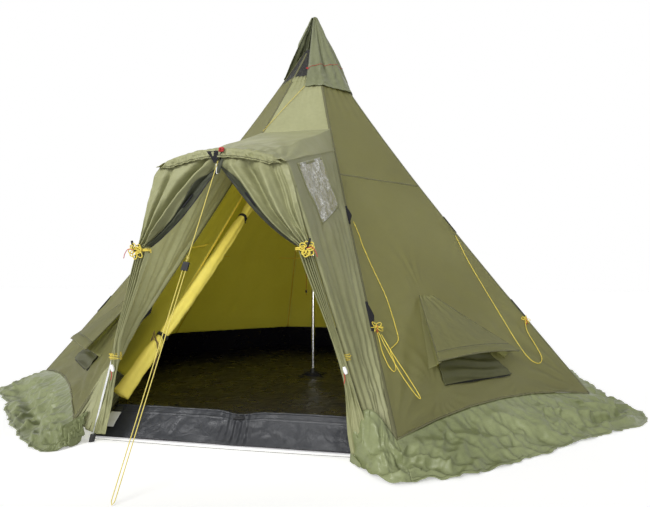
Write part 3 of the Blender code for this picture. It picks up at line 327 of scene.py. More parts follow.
def crumple(point, scale, seed):
    """Ridges on ridges of half the size."""
    drift = Vector((ripple(point, scale * 0.6, seed + 5), ripple(point, scale * 0.6, seed + 6), 0))
    place = Vector(point) + drift * (0.35 / scale)
    return crease(place, scale, seed) + 0.5 * crease(place, scale * 2.1, seed + 1) - 0.55


def smooth_route(points, spacing):
    """Points along a Catmull-Rom curve through the given ones, about spacing apart."""
    points = [Vector(p) for p in points]
    ends = [2 * points[0] - points[1], *points, 2 * points[-1] - points[-2]]
    route = [points[0]]
    for a, b, c, d in zip(ends, ends[1:], ends[2:], ends[3:]):
        count = max(1, round((c - b).length / spacing))
        for n in range(1, count + 1):
            t = n / count
            bend = (2 * a - 5 * b + 4 * c - d) * t * t + (3 * b - a - 3 * c + d) * t**3
            route.append(0.5 * (2 * b + (c - a) * t + bend))
    return route


def length_of(route):
    return sum((b - a).length for a, b in zip(route, route[1:]))


# Materials


class Nodes:
    """A node tree, built node by node."""

    def __init__(self, tree):
        self.tree = tree

    def add(self, kind, settings=None, **inputs):
        node = self.tree.nodes.new("ShaderNode" + kind)
        for key, value in (settings or {}).items():
            setattr(node, key, value)
        self.put(node, **inputs)
        return node

    def put(self, node, **inputs):
        """Sets or links inputs by name, or by number where the name is like _0."""
        for key, value in inputs.items():
            name = int(key[1:]) if key[0] == "_" else key.replace("_", " ")
            socket = node.inputs[name]
            if isinstance(value, bpy.types.NodeSocket):
                self.tree.links.new(value, socket)
            elif isinstance(value, tuple) and len(value) == 3 and socket.type == "RGBA":
                socket.default_value = (*value, 1)
            else:
                socket.default_value = value

    def math(self, operation, a, b):
        return self.add("Math", {"operation": operation}, _0=a, _1=b).outputs[0]

    def choose(self, rays, other, shader):
        """The second shader for rays of these kinds, and the first for all others."""
        path = self.add("LightPath")
        share = path.outputs[rays[0]]
        for kind in rays[1:]:
            share = self.math("MAXIMUM", share, path.outputs[kind])
        return self.add("MixShader", _0=share, _1=other.outputs[0], _2=shader.outputs[0]).outputs[0]


class Look(Nodes):
    """A material with a Principled shader."""

    def __init__(self, name, **shader):
        self.material = bpy.data.materials.new(name)
        self.material.use_nodes = True
        super().__init__(self.material.node_tree)
        self.shader = self.tree.nodes["Principled BSDF"]
        self.put(self.shader, **shader)

    def place(self):
        return self.add("TexCoord").outputs["Object"]

    def flat(self):
        """The cloth's own coordinates, in metres along its rows and columns."""
        return self.add("UVMap", {"uv_map": "cloth"}).outputs["UV"]

    def stretched(self, vector, scale):
        return self.add("Mapping", Vector=vector, Scale=scale).outputs["Vector"]

    def noise(self, vector, scale, detail=3.0, distortion=0.0):
        node = self.add("TexNoise", Vector=vector, Scale=scale, Detail=detail, Distortion=distortion)
        return node.outputs["Fac"]

    def wave(self, vector, scale, direction="X", distortion=0.0):
        settings = {"wave_type": "BANDS", "bands_direction": direction}
        node = self.add("TexWave", settings, Vector=vector, Scale=scale, Distortion=distortion)
        return node.outputs["Fac"]

    def ramp(self, value, low, high, to=(0.0, 1.0)):
        ends = {"From_Min": low, "From_Max": high, "To_Min": to[0], "To_Max": to[1]}
        return self.add("MapRange", {"clamp": True}, Value=value, **ends).outputs["Result"]

    def mix(self, share, a, b, blend="MIX"):
        node = self.add("Mix", {"data_type": "RGBA", "blend_type": blend}, _0=share, _6=a, _7=b)
        return node.outputs[2]

    def bump(self, height, strength, distance, normal=None):
        node = self.add("Bump", Height=height, Strength=strength, Distance=distance)
        if normal:
            self.put(node, Normal=normal)
        return node.outputs["Normal"]

    def glow(self, share, colour):
        """Lets part of the light through the cloth."""
        through = self.add("BsdfTranslucent", Color=colour)
        both = self.add("MixShader", _0=share, _1=self.shader.outputs[0], _2=through.outputs[0])
        self.put(self.tree.nodes["Material Output"], Surface=both.outputs[0])


def bands(period):
    """The wave texture's scale for bands this far apart."""
    return math.pi / (10 * period)


def cloth_look(name, light, dark, roughness, weave, creases=(14.0, 0.25, 0.004), through=None, **shader):
    """Woven cloth: broad and fine colour variation, soft creases, and a weave that follows the cut."""
    look = Look(name, Specular_IOR_Level=0.3, **shader)
    place, flat = look.place(), look.flat()
    broad = look.noise(place, 1.7, 4.0, 0.6)
    fine = look.noise(place, 46.0, 5.0)
    slub = look.noise(look.stretched(flat, (6.0, 220.0, 1.0)), 3.0, 3.0)
    colour = look.mix(look.ramp(broad, 0.32, 0.68), light, dark)
    tone = look.ramp(fine, 0.25, 0.75, (0.93, 1.06))
    thread = look.ramp(slub, 0.3, 0.7, (0.96, 1.04))
    level = look.math("MULTIPLY", tone, thread)
    grey = look.add("CombineColor", Red=level, Green=level, Blue=level).outputs[0]
    colour = look.mix(1.0, colour, grey, "MULTIPLY")
    rough = look.ramp(look.noise(place, 8.0, 4.0), 0.3, 0.7, (roughness - 0.07, roughness + 0.07))
    scale, strength, depth = creases
    soft = look.bump(look.noise(place, scale, 6.0, 1.4), strength, depth)
    warp = look.wave(flat, bands(weave), "X")
    weft = look.wave(flat, bands(weave), "Y")
    woven = look.bump(look.math("MULTIPLY", warp, weft), 0.25, weave * 0.25, soft)
    look.put(look.shader, Base_Color=colour, Roughness=rough, Normal=woven)
    if through:
        look.glow(*through)
    return look.material


def net_look():
    """Fine netting, whose threads follow the cut."""
    look = Look("netting", Roughness=0.75)
    flat = look.flat()
    warp = look.wave(flat, bands(0.0024), "X")
    weft = look.wave(flat, bands(0.0024), "Y")
    thread = look.math("MAXIMUM", warp, weft)
    dust = look.noise(look.place(), 30.0, 3.0)
    colour = look.mix(look.ramp(dust, 0.3, 0.7), (0.006, 0.006, 0.006), (0.02, 0.02, 0.018))
    alpha = look.ramp(thread, 0.35, 0.75, (0.38, 1.0))
    look.put(look.shader, Base_Color=colour, Alpha=alpha, Normal=look.bump(thread, 0.4, 0.0004))
    return look.material


def window_look():
    """Clear flexible sheet that has been folded: its creases catch the light, a painted highlight that makes
    them pale and less clear.
    """
    look = Look("clear_sheet", IOR=1.5)
    place = look.place()
    folds = look.noise(place, 34.0, 3.0, 1.8)
    sharp = look.math("ABSOLUTE", look.math("SUBTRACT", folds, 0.5), 0.0)
    crease_line_mask = look.ramp(sharp, 0.0, 0.05, (1.0, 0.0))
    broad = look.ramp(look.noise(place, 16.0, 2.0), 0.42, 0.58)
    painted_crease_highlight = look.math("MULTIPLY", crease_line_mask, broad)
    # Painted highlight: the creases are painted near white and more opaque than the rest of the sheet.
    colour = look.mix(painted_crease_highlight, (0.5, 0.5, 0.44), (0.95, 0.96, 0.95))
    alpha = look.ramp(painted_crease_highlight, 0.0, 0.6, (0.7, 0.98))
    rough = look.ramp(painted_crease_highlight, 0.0, 1.0, (0.08, 0.35))
    normal = look.bump(look.noise(place, 26.0, 4.0, 2.0), 0.9, 0.008)
    look.put(look.shader, Base_Color=colour, Alpha=alpha, Roughness=rough, Normal=normal)
    return look.material


def metal_look():
    """Drawn aluminium tube, with fine lines along it and a few dull spots."""
    look = Look("drawn_tube", Metallic=1.0)
    place = look.place()
    lines = look.noise(look.stretched(place, (420.0, 420.0, 6.0)), 1.0, 3.0)
    spots = look.noise(place, 22.0, 4.0)
    colour = look.mix(look.ramp(spots, 0.45, 0.75), (0.84, 0.85, 0.87), (0.66, 0.67, 0.69))
    rough = look.ramp(lines, 0.2, 0.8, (0.2, 0.36))
    look.put(look.shader, Base_Color=colour, Roughness=rough, Normal=look.bump(lines, 0.08, 0.0004))
    return look.material


def moulded_look(name, colour, worn, roughness):
    """Rubber or plastic with a fine grain, paler where it has been rubbed."""
    look = Look(name)
    place = look.place()
    grain = look.noise(place, 900.0, 2.0)
    rub = look.noise(place, 35.0, 4.0)
    tint = look.mix(look.ramp(rub, 0.5, 0.8), colour, worn)
    rough = look.ramp(rub, 0.3, 0.7, (roughness + 0.08, roughness - 0.08))
    look.put(look.shader, Base_Color=tint, Roughness=rough, Normal=look.bump(grain, 0.15, 0.0003))
    return look.material


def webbing_look(name, colour, edge):
    """Woven tape with ribs across it and a little fluff."""
    look = Look(name, Specular_IOR_Level=0.15)
    flat = look.flat()
    ribs = look.wave(flat, bands(0.0016), "Y", 0.6)
    twill = look.wave(flat, bands(0.0028), "DIAGONAL")
    fluff = look.noise(look.place(), 260.0, 4.0)
    tint = look.mix(look.math("MULTIPLY", ribs, look.ramp(fluff, 0.3, 0.8)), colour, edge)
    rough = look.ramp(fluff, 0.2, 0.8, (0.68, 0.92))
    rows = look.bump(ribs, 0.5, 0.0005)
    look.put(look.shader, Base_Color=tint, Roughness=rough, Normal=look.bump(twill, 0.3, 0.0003, rows))
    return look.material


def cord_look(name, light, dark, flecks):
    """Braided cord: two crossing sets of strands, with flecks of another colour."""
    look = Look(name)
    flat = look.flat()
    left = look.wave(look.stretched(flat, (1.0, 1.6, 1.0)), bands(0.0026), "DIAGONAL")
    right = look.wave(look.stretched(flat, (1.0, -1.6, 1.0)), bands(0.0026), "DIAGONAL")
    braid = look.math("MAXIMUM", left, right)
    dirt = look.noise(look.place(), 60.0, 4.0)
    tint = look.mix(look.ramp(braid, 0.5, 0.95), dark, light)
    speck = look.ramp(look.noise(flat, 700.0, 1.0), 0.62, 0.7)
    tint = look.mix(look.math("MULTIPLY", speck, 0.6), tint, flecks)
    rough = look.ramp(dirt, 0.3, 0.7, (0.55, 0.78))
    look.put(look.shader, Base_Color=tint, Roughness=rough, Normal=look.bump(braid, 0.6, 0.0007))
    return look.material


# Each cloth's colours: its light patches and its dark ones
SAGE = ((0.385, 0.392, 0.215), (0.3, 0.306, 0.158))
DARK_SAGE = ((0.19, 0.205, 0.11), (0.135, 0.145, 0.075))
FACING = ((0.055, 0.06, 0.036), (0.03, 0.034, 0.02))
TAPE = ((0.13, 0.128, 0.062), (0.1, 0.098, 0.046))
# The rolled door's yellow is the inner cloth's, painted brighter: painted light, where direct light falls on
# it.
ROLL_YELLOW_PAINTED_LIGHT = ((1.0, 0.9, 0.24), (0.93, 0.78, 0.14))
BLACK = ((0.016, 0.0145, 0.019), (0.0085, 0.008, 0.011))
DARK_GREY = ((0.034, 0.036, 0.041), (0.014, 0.015, 0.018))
# The panel's olive painted darker for the folds in the vent's opening: painted shade, as under the flap.
OLIVE_PAINTED_SHADE = ((0.085, 0.086, 0.036), (0.05, 0.052, 0.02))
OLIVE = ((0.205, 0.202, 0.1), (0.17, 0.166, 0.078))
GREEN = ((0.235, 0.262, 0.128), (0.17, 0.193, 0.085))
YELLOW = ((0.84, 0.78, 0.2), (0.78, 0.7, 0.14))

# Share and colour of the light that each cloth lets through
LIGHT_THROUGH_SHELL = (0.45, (0.92, 0.92, 0.55))
LIGHT_THROUGH_SKIRT = (0.04, (0.4, 0.45, 0.2))
LIGHT_THROUGH_ROLL = (0.4, (1.0, 0.95, 0.3))
LIGHT_THROUGH_INNER = (0.6, (1.0, 0.95, 0.36))
LIGHT_THROUGH_PORCH = (0.2, (0.6, 0.54, 0.2))

# For cloth_look: name, colours, roughness, width of the weave, creases, light let through
LOOKS = {
    "sage": cloth_look("porch_cloth", *SAGE, 0.46, 0.0022, (16.0, 0.4, 0.005), LIGHT_THROUGH_PORCH),
    "hood": cloth_look("hood_cloth", *DARK_SAGE, 0.34, 0.0022, (18.0, 0.5, 0.006)),
    "facing": cloth_look("facing_cloth", *FACING, 0.6, 0.002, (30.0, 0.6, 0.005)),
    "olive": cloth_look("panel_cloth", *OLIVE, 0.5, 0.0022, (9.0, 0.3, 0.005), LIGHT_THROUGH_SHELL),
    "skirt": cloth_look("skirt_cloth", *GREEN, 0.38, 0.0026, (24.0, 0.5, 0.006), LIGHT_THROUGH_SKIRT,
                        Coat_Weight=0.1),
    "seam": cloth_look("seam_tape", *TAPE, 0.6, 0.0016),
    "yellow": cloth_look("inner_cloth", *YELLOW, 0.6, 0.002, (7.0, 0.3, 0.005), LIGHT_THROUGH_INNER),
    "yellow_seam": cloth_look("inner_seam", (0.9, 0.72, 0.12), (0.8, 0.6, 0.08), 0.6, 0.0016),
    # The rolled door: painted light, its yellow brighter than the inner cloth's.
    "roll": cloth_look("rolled_cloth_painted_light", *ROLL_YELLOW_PAINTED_LIGHT, 0.5, 0.002, (16.0, 0.5, 0.006), LIGHT_THROUGH_ROLL),
    "floor": cloth_look("floor_cloth", *BLACK, 0.3, 0.003, (9.0, 0.9, 0.014)),
    "grey": cloth_look("sill_cloth", *DARK_GREY, 0.32, 0.0026, (20.0, 0.5, 0.005)),
    "tag": cloth_look("plain_tag", (0.74, 0.74, 0.7), (0.66, 0.66, 0.62), 0.6, 0.0012),
    # Painted shade: a darker copy of the panel cloth, for the vent's opening.
    "olive_painted_shade": cloth_look("vent_folds_painted_shade", *OLIVE_PAINTED_SHADE, 0.65, 0.002, (14.0, 0.4, 0.005)),
    "net": net_look(),
    "clear": window_look(),
    "metal": metal_look(),
    "rubber": moulded_look("black_rubber", (0.014, 0.014, 0.014), (0.05, 0.05, 0.048), 0.62),
    "plastic": moulded_look("black_plastic", (0.008, 0.008, 0.009), (0.02, 0.02, 0.02), 0.7),
    "white_plastic": moulded_look("white_plastic", (0.8, 0.8, 0.78), (0.66, 0.65, 0.62), 0.4),
    "webbing": webbing_look("black_webbing", (0.012, 0.012, 0.014), (0.055, 0.055, 0.06)),
    "yellow_cord": cord_look("yellow_cord", (0.9, 0.74, 0.1), (0.55, 0.4, 0.04), (0.95, 0.9, 0.6)),
    "pale_cord": cord_look("pale_cord", (0.86, 0.74, 0.2), (0.5, 0.4, 0.08), (0.12, 0.1, 0.05)),
    "red_cord": cord_look("red_cord", (0.6, 0.03, 0.03), (0.25, 0.01, 0.01), (0.8, 0.3, 0.2)),
    "grey_cord": cord_look("grey_cord", (0.36, 0.36, 0.35), (0.16, 0.16, 0.16), (0.6, 0.6, 0.58)),
    "brown_cord": cord_look("brown_cord", (0.2, 0.13, 0.05), (0.08, 0.05, 0.02), (0.3, 0.2, 0.1)),
}


# Pieces


def place_piece(name, data, look, body="tent", replaces=()):
    """Adds a mesh with its look, the body that it rides on and the CAD nodes that it stands for."""
    obj = bpy.data.objects.new(name, data)
    bpy.context.scene.collection.objects.link(obj)
    data.materials.append(LOOKS[look])
    data.shade_smooth()
    if body:
        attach(obj, body)
    if replaces:
        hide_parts(*replaces)
    return obj


def along(row):
    """Distances along a row of points, from its middle."""
    steps = [0.0]
    for a, b in zip(row, row[1:]):
        steps.append(steps[-1] + (b - a).length)
    half = steps[-1] / 2
    return [s - half for s in steps]


def mesh_data(name, verts, faces, uvs):
    """A mesh with the UV map that the woven looks follow."""
    data = bpy.data.meshes.new(name)
    data.from_pydata(verts, [], faces)
    layer = data.uv_layers.new(name="cloth")
    layer.data.foreach_set("uv", [c for uv in uvs for c in uv])
    data.validate()
    return data


def grid_data(name, grid, hole=None, wrap=False, caps=False):
    """Quads between rows of points. hole is a range of rows and one of columns, whose quads are left out."""
    rows, columns = len(grid), len(grid[0])
    loops = [[*row, row[0]] if wrap else row for row in grid]
    across = [along(row) for row in loops]
    down = [along(column) for column in zip(*loops)]
    verts = [p for row in grid for p in row]
    faces, uvs = [], []
    for i in range(rows - 1):
        for j in range(columns if wrap else columns - 1):
            if hole and i in hole[0] and j in hole[1]:
                continue
            k = (j + 1) % columns
            faces.append((i * columns + j, i * columns + k, (i + 1) * columns + k, (i + 1) * columns + j))
            for r, c in ((i, j), (i, j + 1), (i + 1, j + 1), (i + 1, j)):
                uvs.append((across[r][c], down[c][r]))
    if caps:
        for first, order in ((0, -1), ((rows - 1) * columns, 1)):
            faces.append(tuple(range(first, first + columns))[::order])
            uvs += [(verts[v].x, verts[v].y) for v in faces[-1]]
    return mesh_data(name, verts, faces, uvs)


def area_of(grid, hole=None):
    """Area of the quads of a grid."""
    total = 0.0
    for i, (row, above) in enumerate(zip(grid, grid[1:])):
        for j in range(len(row) - 1):
            if not (hole and i in hole[0] and j in hole[1]):
                total += ((row[j + 1] - above[j]).cross(above[j + 1] - row[j])).length / 2
    return total


# Measures of the sheets and cords, printed at the end
SHEETS = []
CORDS = []

# A sheet may not be declared smaller than 0.3 of its width times length, and the right porch side,
# with its narrow top and its window, measures a little less: 0.487 m2, declared as 0.494
LEAST_SHARE = 0.301


def cloth(name, grid, look, held=None, body="tent", replaces=(), hole=None, wrap=False, thick=0.0012,
          **facts):
    """A sheet of cloth. Where held is given it is declared, with the flat size that its own grid gives."""
    obj = place_piece(name, grid_data(name, grid, hole, wrap), look, body, replaces)
    if thick:
        shell = obj.modifiers.new("Thickness", "SOLIDIFY")
        shell.thickness = thick
        shell.offset = 0.0
    if held:
        loops = [[*row, row[0]] if wrap else row for row in grid]
        width = max(length_of(row) for row in loops)
        length = max(length_of(column) for column in zip(*grid))
        area = min(area_of(loops, hole), width * length)
        flat = (round(width, 3), round(length, 3))
        whole = flat[0] * flat[1]
        area = min(max(area, LEAST_SHARE * whole), whole)
        SHEETS.append((name, flat, round(area, 3)))
    return obj


def rings(points, radius, sides=8):
    """Rings of points round a route, with least twist. radius is a number, or a list with one a point."""
    points = [Vector(p) for p in points]
    count = len(points)
    radii = radius if isinstance(radius, list) else [radius] * count
    tangents = [(points[min(n + 1, count - 1)] - points[max(n - 1, 0)]).normalized() for n in range(count)]
    side = tangents[0].orthogonal().normalized()
    made = []
    for point, tangent, reach in zip(points, tangents, radii):
        side = (side - tangent * side.dot(tangent)).normalized()
        other = tangent.cross(side)
        made.append([point + (side * math.cos(a) + other * math.sin(a)) * reach for a in circle(sides)])
    return made


def tube(name, points, radius, look, body="tent", replaces=(), sides=8):
    """A round piece along a route, closed at its ends."""
    data = grid_data(name, rings(points, radius, sides), wrap=True, caps=True)
    return place_piece(name, data, look, body, replaces)


def cord(name, route, radius, look, replaces=()):
    """A declared cord along a route, from its first point."""
    obj = tube(name, route, radius, look, replaces=replaces)
    length = round(length_of(route), 3)
    CORDS.append((name, length))


def strip(name, path, half, normals, look, lift=0.0008, thick=0.0008):
    """A narrow tape along a path. half is its half width as a vector, normals its outward ways."""
    profile = [(t, lift * (1 - abs(t) ** 3)) for t in (-1, -0.86, 0, 0.86, 1)]
    grid = [[point + half * t + normal * out for t, out in profile] for point, normal in zip(path, normals)]
    return cloth(name, grid, look, thick=thick)


def join(name, meshes, look):
    """Several small meshes of one kind as one piece."""
    verts, faces, uvs = [], [], []
    for mesh in meshes:
        start = len(verts)
        verts += [v.co.copy() for v in mesh.vertices]
        faces += [tuple(start + v for v in p.vertices) for p in mesh.polygons]
        uvs += [tuple(loop.uv) for loop in mesh.uv_layers["cloth"].data]
    return place_piece(name, mesh_data(name, verts, faces, uvs), look)


# Camera, first of all

CAMERA_PLACE = (0.72008, -3.26593, 0.64320)
CAMERA_YAW = math.radians(11.075)
CAMERA_PITCH = math.radians(3.18)
CAMERA_ROLL = math.radians(0.108)
CAMERA_LENS = 27.01


def make_camera():
    """The photograph's view."""
    data = bpy.data.cameras.new("camera")
    data.sensor_width = 36.0
    data.lens = CAMERA_LENS
    data.clip_end = 100.0
    obj = bpy.data.objects.new("camera", data)
    bpy.context.scene.collection.objects.link(obj)
    turn = Matrix.Rotation(CAMERA_YAW, 4, "Z") @ Matrix.Rotation(math.pi / 2 + CAMERA_PITCH, 4, "X")
    obj.matrix_world = Matrix.Translation(CAMERA_PLACE) @ turn @ Matrix.Rotation(CAMERA_ROLL, 4, "Z")
    bpy.context.scene.camera = obj


make_camera()


# Cords


def guy_route():
    """Points of the front guy: the upper line's route, and the doubled line's two strands."""
    crown = arch_point(0, forward=EAVE + 0.0008)
    direction = (GUY_FOOT - GUY_TOP).normalized()
    start = crown + Vector((0, -0.0022 - GUY_RADIUS - SEAM, -0.044))
    slider = GUY_TOP.lerp(GUY_FOOT, (GUY_TOP.z - SLIDER_HEIGHT) / (GUY_TOP.z - GUY_FOOT.z))
    end = slider - direction * (SLIDER_LENGTH / 2 + SEAM)
    across = direction.cross(Vector((0, -1, 0))).normalized()
    top = slider - direction * (SLIDER_LENGTH / 2 - 0.006)
    foot = GUY_FOOT + UP * (GUY_RADIUS + 0.0008) - direction * 0.02
    toe = foot + Vector((0, -0.012, 0))
    toe.z = GUY_RADIUS + 0.0008
    down = [top + across * STRAND_SPREAD + (foot - top) * n / 12 for n in range(13)]
    back = [foot - across * STRAND_SPREAD + (top - foot) * n / 12 for n in range(13)]
    bow = [down[-1].lerp(toe, 0.6) + across * 0.003, toe, back[0].lerp(toe, 0.6) - across * 0.003]
    upper = smooth_route([start, start.lerp(end, 0.5), end], 0.03)
    return upper, [*down, *bow, *back], slider, direction, across


def front_guy():
    """The porch's guy line: single above its slider and doubled below, with a knot over the slider."""
    upper, lower, slider, direction, across = guy_route()
    cord("front_guy_upper", upper, GUY_RADIUS, "pale_cord", ["guy_line_upper"])
    cord("front_guy_lower", lower, GUY_RADIUS, "pale_cord", ["guy_line_lower"])
    knot = [slider - direction * (0.02 + 0.0016 * n) for n in range(12)]
    turns = []
    for n, point in enumerate(knot):
        angle = n * 1.9
        turns.append(point + across * 0.0042 * math.cos(angle) + Vector((0, -0.0042 * math.sin(angle), 0)))
    tube("front_guy_knot", smooth_route(turns, 0.002), GUY_RADIUS, "pale_cord")


def stored_guys():
    """Guy lines that hang from the ridge tabs against the front right side, as places on its cloth."""
    off = GUY_RADIUS + 0.0034
    front = [(-0.352, 0.93), (-0.356, 0.858), (-0.364, 0.812), (-0.369, 0.701), (-0.371, 0.567)]
    front += [(-0.40, 0.437), (-0.418, 0.395), (-0.451, 0.378), (-0.484, 0.362), (-0.487, 0.33)]
    front += [(-0.499, 0.295), (-0.514, 0.289), (-0.527, 0.31), (-0.527, 0.36), (-0.516, 0.40)]
    front.append((-0.507, 0.44))
    rear = [(0.357, 0.898), (0.336, 0.757), (0.331, 0.637), (0.328, 0.47), (0.325, 0.353), (0.338, 0.273)]
    rear += [(0.384, 0.243), (0.44, 0.265), (0.453, 0.336), (0.457, 0.383), (0.49, 0.43)]
    for name, points in (("front", front), ("rear", rear)):
        route = smooth_route([on_cloth(FRONT_RIGHT, across, z, off) for across, z in points], 0.012)
        cord("stored_guy_" + name, route, GUY_RADIUS, "yellow_cord",
             ["side_guy_" + name])


def hood_cords():
    """The red cord that gathers the hood, its knot, and the guy line that holds the hood down."""
    steps = 160
    room = 0.02
    heights = (0.24, 0.30, 0.35, 0.38, 0.39, 0.39, 0.38, 0.36, 0.34)
    last = len(heights) - 1
    route = []
    for n in range(steps + 1):
        place = n / steps * last
        i = min(last - 1, int(place))
        share = place - i
        angle = HOOD_START + room + (HOOD_END - HOOD_START - 2 * room) * place / last
        height = heights[i] * (1 - share) + heights[i + 1] * share
        outwards = Vector((math.cos(angle), math.sin(angle), 0.2))
        route.append(hood_cloth_point(angle, height) + outwards * (THIN_RADIUS + 0.0012))
    cord("hood_cord", route, THIN_RADIUS, "red_cord", ["hood_tie_cord"])
    a = hood_point(HOOD_START, 0.01, THIN_RADIUS + SEAM * 2)
    b = ridge_point(LEFT_RIDGE, CREASE_HEIGHT + 0.012, -THIN_RADIUS - SEAM * 7)
    middle = [a.lerp(b, t) + side_normal(FRONT, a.z) * 0.0025 for t in (0.3, 0.6)]
    route = smooth_route([a, *middle, b], 0.02)
    cord("hood_guy", route, THIN_RADIUS, "yellow_cord", ["hood_guy_line"])
    knot = hood_point(HOOD_START, 0.24, 0.006)
    turns = []
    for n in range(16):
        turn = (0.006 * math.cos(n * 1.3), -0.002 * n % 0.005, 0.005 * math.sin(n * 1.9))
        turns.append(knot + Vector(turn))
    tube("hood_cord_knot", smooth_route(turns, 0.003), THIN_RADIUS * 1.2, "red_cord")


def pull_cord():
    """Hangs from the peak vent beside the centre pole, and leans away from it."""
    x, y = -0.045, -0.02
    top = PANEL_TOP - SEAM
    route = [Vector((x * (0.5 + 0.5 * s), y, top - (top - PULL_CORD_END) * s)) for s in span(0, 1, 49)]
    cord("pull_cord", route, THIN_RADIUS, "red_cord", ["vent_pull_cord"])


def ground_cord():
    """Keeps the porch legs at their distance; it lies slack just over the ground."""
    left, right = leg_foot(-1), leg_foot(1)
    rise = 0.012
    reach = 0.0117
    lean = (left - leg_top(-1)).x / ARCH_CORNER_HEIGHT * rise
    a = left + Vector((reach - lean, 0, rise))
    b = right + Vector((lean - reach, 0, rise))
    middle = [a.lerp(b, t) - UP * 0.004 * math.sin(math.pi * t) for t in (0.25, 0.5, 0.75)]
    cord("ground_cord", smooth_route([a, *middle, b], 0.03), THIN_RADIUS, "grey_cord",
         ["leg_spacing_cord"])


# Outer tent


PULLS = (
    # edge of the side, height, reach, folds round it, depth, phase
    (-1, 0.10, 0.46, 21, 0.0095, 0.3),
    (1, 0.10, 0.46, 23, 0.0095, 1.7),
    (-1, 0.967, 0.2, 13, 0.0035, 0.9),
    (1, 0.967, 0.2, 14, 0.0035, 2.6),
    (-1, 0.495, 0.18, 15, 0.0045, 2.1),
    (1, 0.495, 0.2, 15, 0.005, 0.5),
)
VENT_PULLS = (
    (-0.13, 0.60, 0.18, 17, 0.0045, 0.2),
    (-0.33, 0.21, 0.17, 15, 0.0045, 1.1),
    (0.19, 0.21, 0.19, 17, 0.005, 2.3),
)


def panel_out(side, u, z, mirror=0):
    """How far the cloth stands off its smooth shape: folds that run out of each place where it is pulled."""
    width = side_width(z)
    x = (u - 0.5) * width
    total = 0.0
    pulls = [(edge * side_width(height) / 2, height, *rest) for edge, height, *rest in PULLS]
    if mirror:
        pulls += [(mirror * across, height, *rest) for across, height, *rest in VENT_PULLS]
    for ax, az, reach, folds, depth, phase in pulls:
        dx, dz = x - ax, (z - az) * 1.15
        away = math.hypot(dx, dz)
        if away > reach * 4:
            continue
        angle = math.atan2(dz, dx)
        drift = 1.6 * ripple((angle * 1.5, away * 2.2, side), 1.0, az * 3 + ax)
        fade = math.exp(-away / reach) * smooth(0.015, 0.1, away)
        total += depth * math.sin(folds * angle + phase + side + drift) * fade
    here = Vector((x, z, side * 3.0))
    gather = math.sin(u * math.pi * 10 + side * 2 + 2 * ripple(here, 2.0, 3)) * smooth(1.45, 2.15, z)
    total += 0.0022 * gather + 0.0028 * ripple(here, 2.3, 1) + 0.0012 * ripple(here, 7.0, 2)
    return total * sewn(u)


def panel_place(side, u, z, out=0.0, mirror=0):
    """A point on a side's wrinkled cloth."""
    return side_point(side, u, z) + side_normal(side, z) * (panel_out(side, u, z, mirror) + out)


def vent_edges(z, mirror):
    """Shares of a side's width where its vent's hole begins and ends, eased to thirds above it."""
    t = min(1.0, max(0.0, (z - VENT_SILL) / (VENT_TOP - VENT_SILL)))
    low = min(z, VENT_TOP)
    ends = []
    for foot, head in zip(VENT_FOOT, VENT_HEAD):
        across = foot + (head - foot) * t
        ends.append(0.5 + mirror * across / side_width(low))
    ease = smooth(VENT_TOP, VENT_TOP + 0.7, z)
    ends.sort()
    return ends[0] * (1 - ease) + ease / 3, ends[1] * (1 - ease) + ease * 2 / 3


SIDE_NAMES = ("front_right", "right", "back_right", "back", "back_left", "left", "front_left")
VENT_SIDES = {FRONT_RIGHT: 1, FRONT_LEFT: -1}
PANEL_BLOCKS = (34, 34, 34)
LOW_ROWS, VENT_ROWS, HIGH_ROWS = 10, 30, 66


def in_blocks(left, right, blocks):
    """Shares from 0 to 1 in three blocks, the middle one from left to right."""
    shares = []
    for low, high, count in zip((0, left, right), (left, right, 1), blocks):
        shares += span(low, high, count + 1)[:-1]
    return [*shares, 1.0]


def panel_grid(side, mirror):
    """A side's cloth: rows from its hem to the vent's sill, past the vent, and on to the top."""
    top = FRONT_TOP if side == FRONT_LEFT else PANEL_TOP
    heights = [(VENT_SILL, v) for v in span(0, 1, LOW_ROWS + 1)[:-1]]
    heights += [(z, 1) for z in span(VENT_SILL, VENT_TOP, VENT_ROWS + 1)[:-1]]
    heights += [(z, 1) for z in span(VENT_TOP, top, HIGH_ROWS + 1)]
    grid = []
    for z, v in heights:
        left, right = vent_edges(z, mirror) if mirror else (1 / 3, 2 / 3)
        row = []
        for u in in_blocks(left, right, PANEL_BLOCKS):
            height = panel_hem(u) * (1 - v) + z * v
            row.append(panel_place(side, u, height, 0.0, mirror))
        grid.append(row)
    return grid


def panels():
    """The seven sides, two of them with a hole and netting for the vent."""
    first = PANEL_BLOCKS[0]
    vent_hole = (range(LOW_ROWS, LOW_ROWS + VENT_ROWS), range(first, first + PANEL_BLOCKS[1]))
    for side, name in enumerate(SIDE_NAMES):
        mirror = VENT_SIDES.get(side, 0)
        cloth("side_" + name, panel_grid(side, mirror), "olive", "stretched", replaces=["panel_" + name],
              hole=vent_hole if mirror else None, rests_on=["centre_pole_upper"])
        if mirror:
            rows = []
            for z in span(VENT_SILL - 0.004, VENT_TOP + 0.004, 40):
                back = side_normal(side, z) * 0.002
                rows.append([side_point(side, u, z) - back for u in span(*vent_edges(z, mirror), 30)])
            place = "right" if mirror > 0 else "left"
            cloth("vent_net_" + place, rows, "net", "stretched", replaces=["vent_mesh_" + place], thick=0,
                  rests_on=["side_" + name])


def front_gather(u, z):
    """Puckers of the short front side where its hem is gathered, from -1 to 1."""
    return math.sin(u * math.pi * 15 + 2.5 * ripple((u * 0.4, z, 9.0), 5.0, 8))


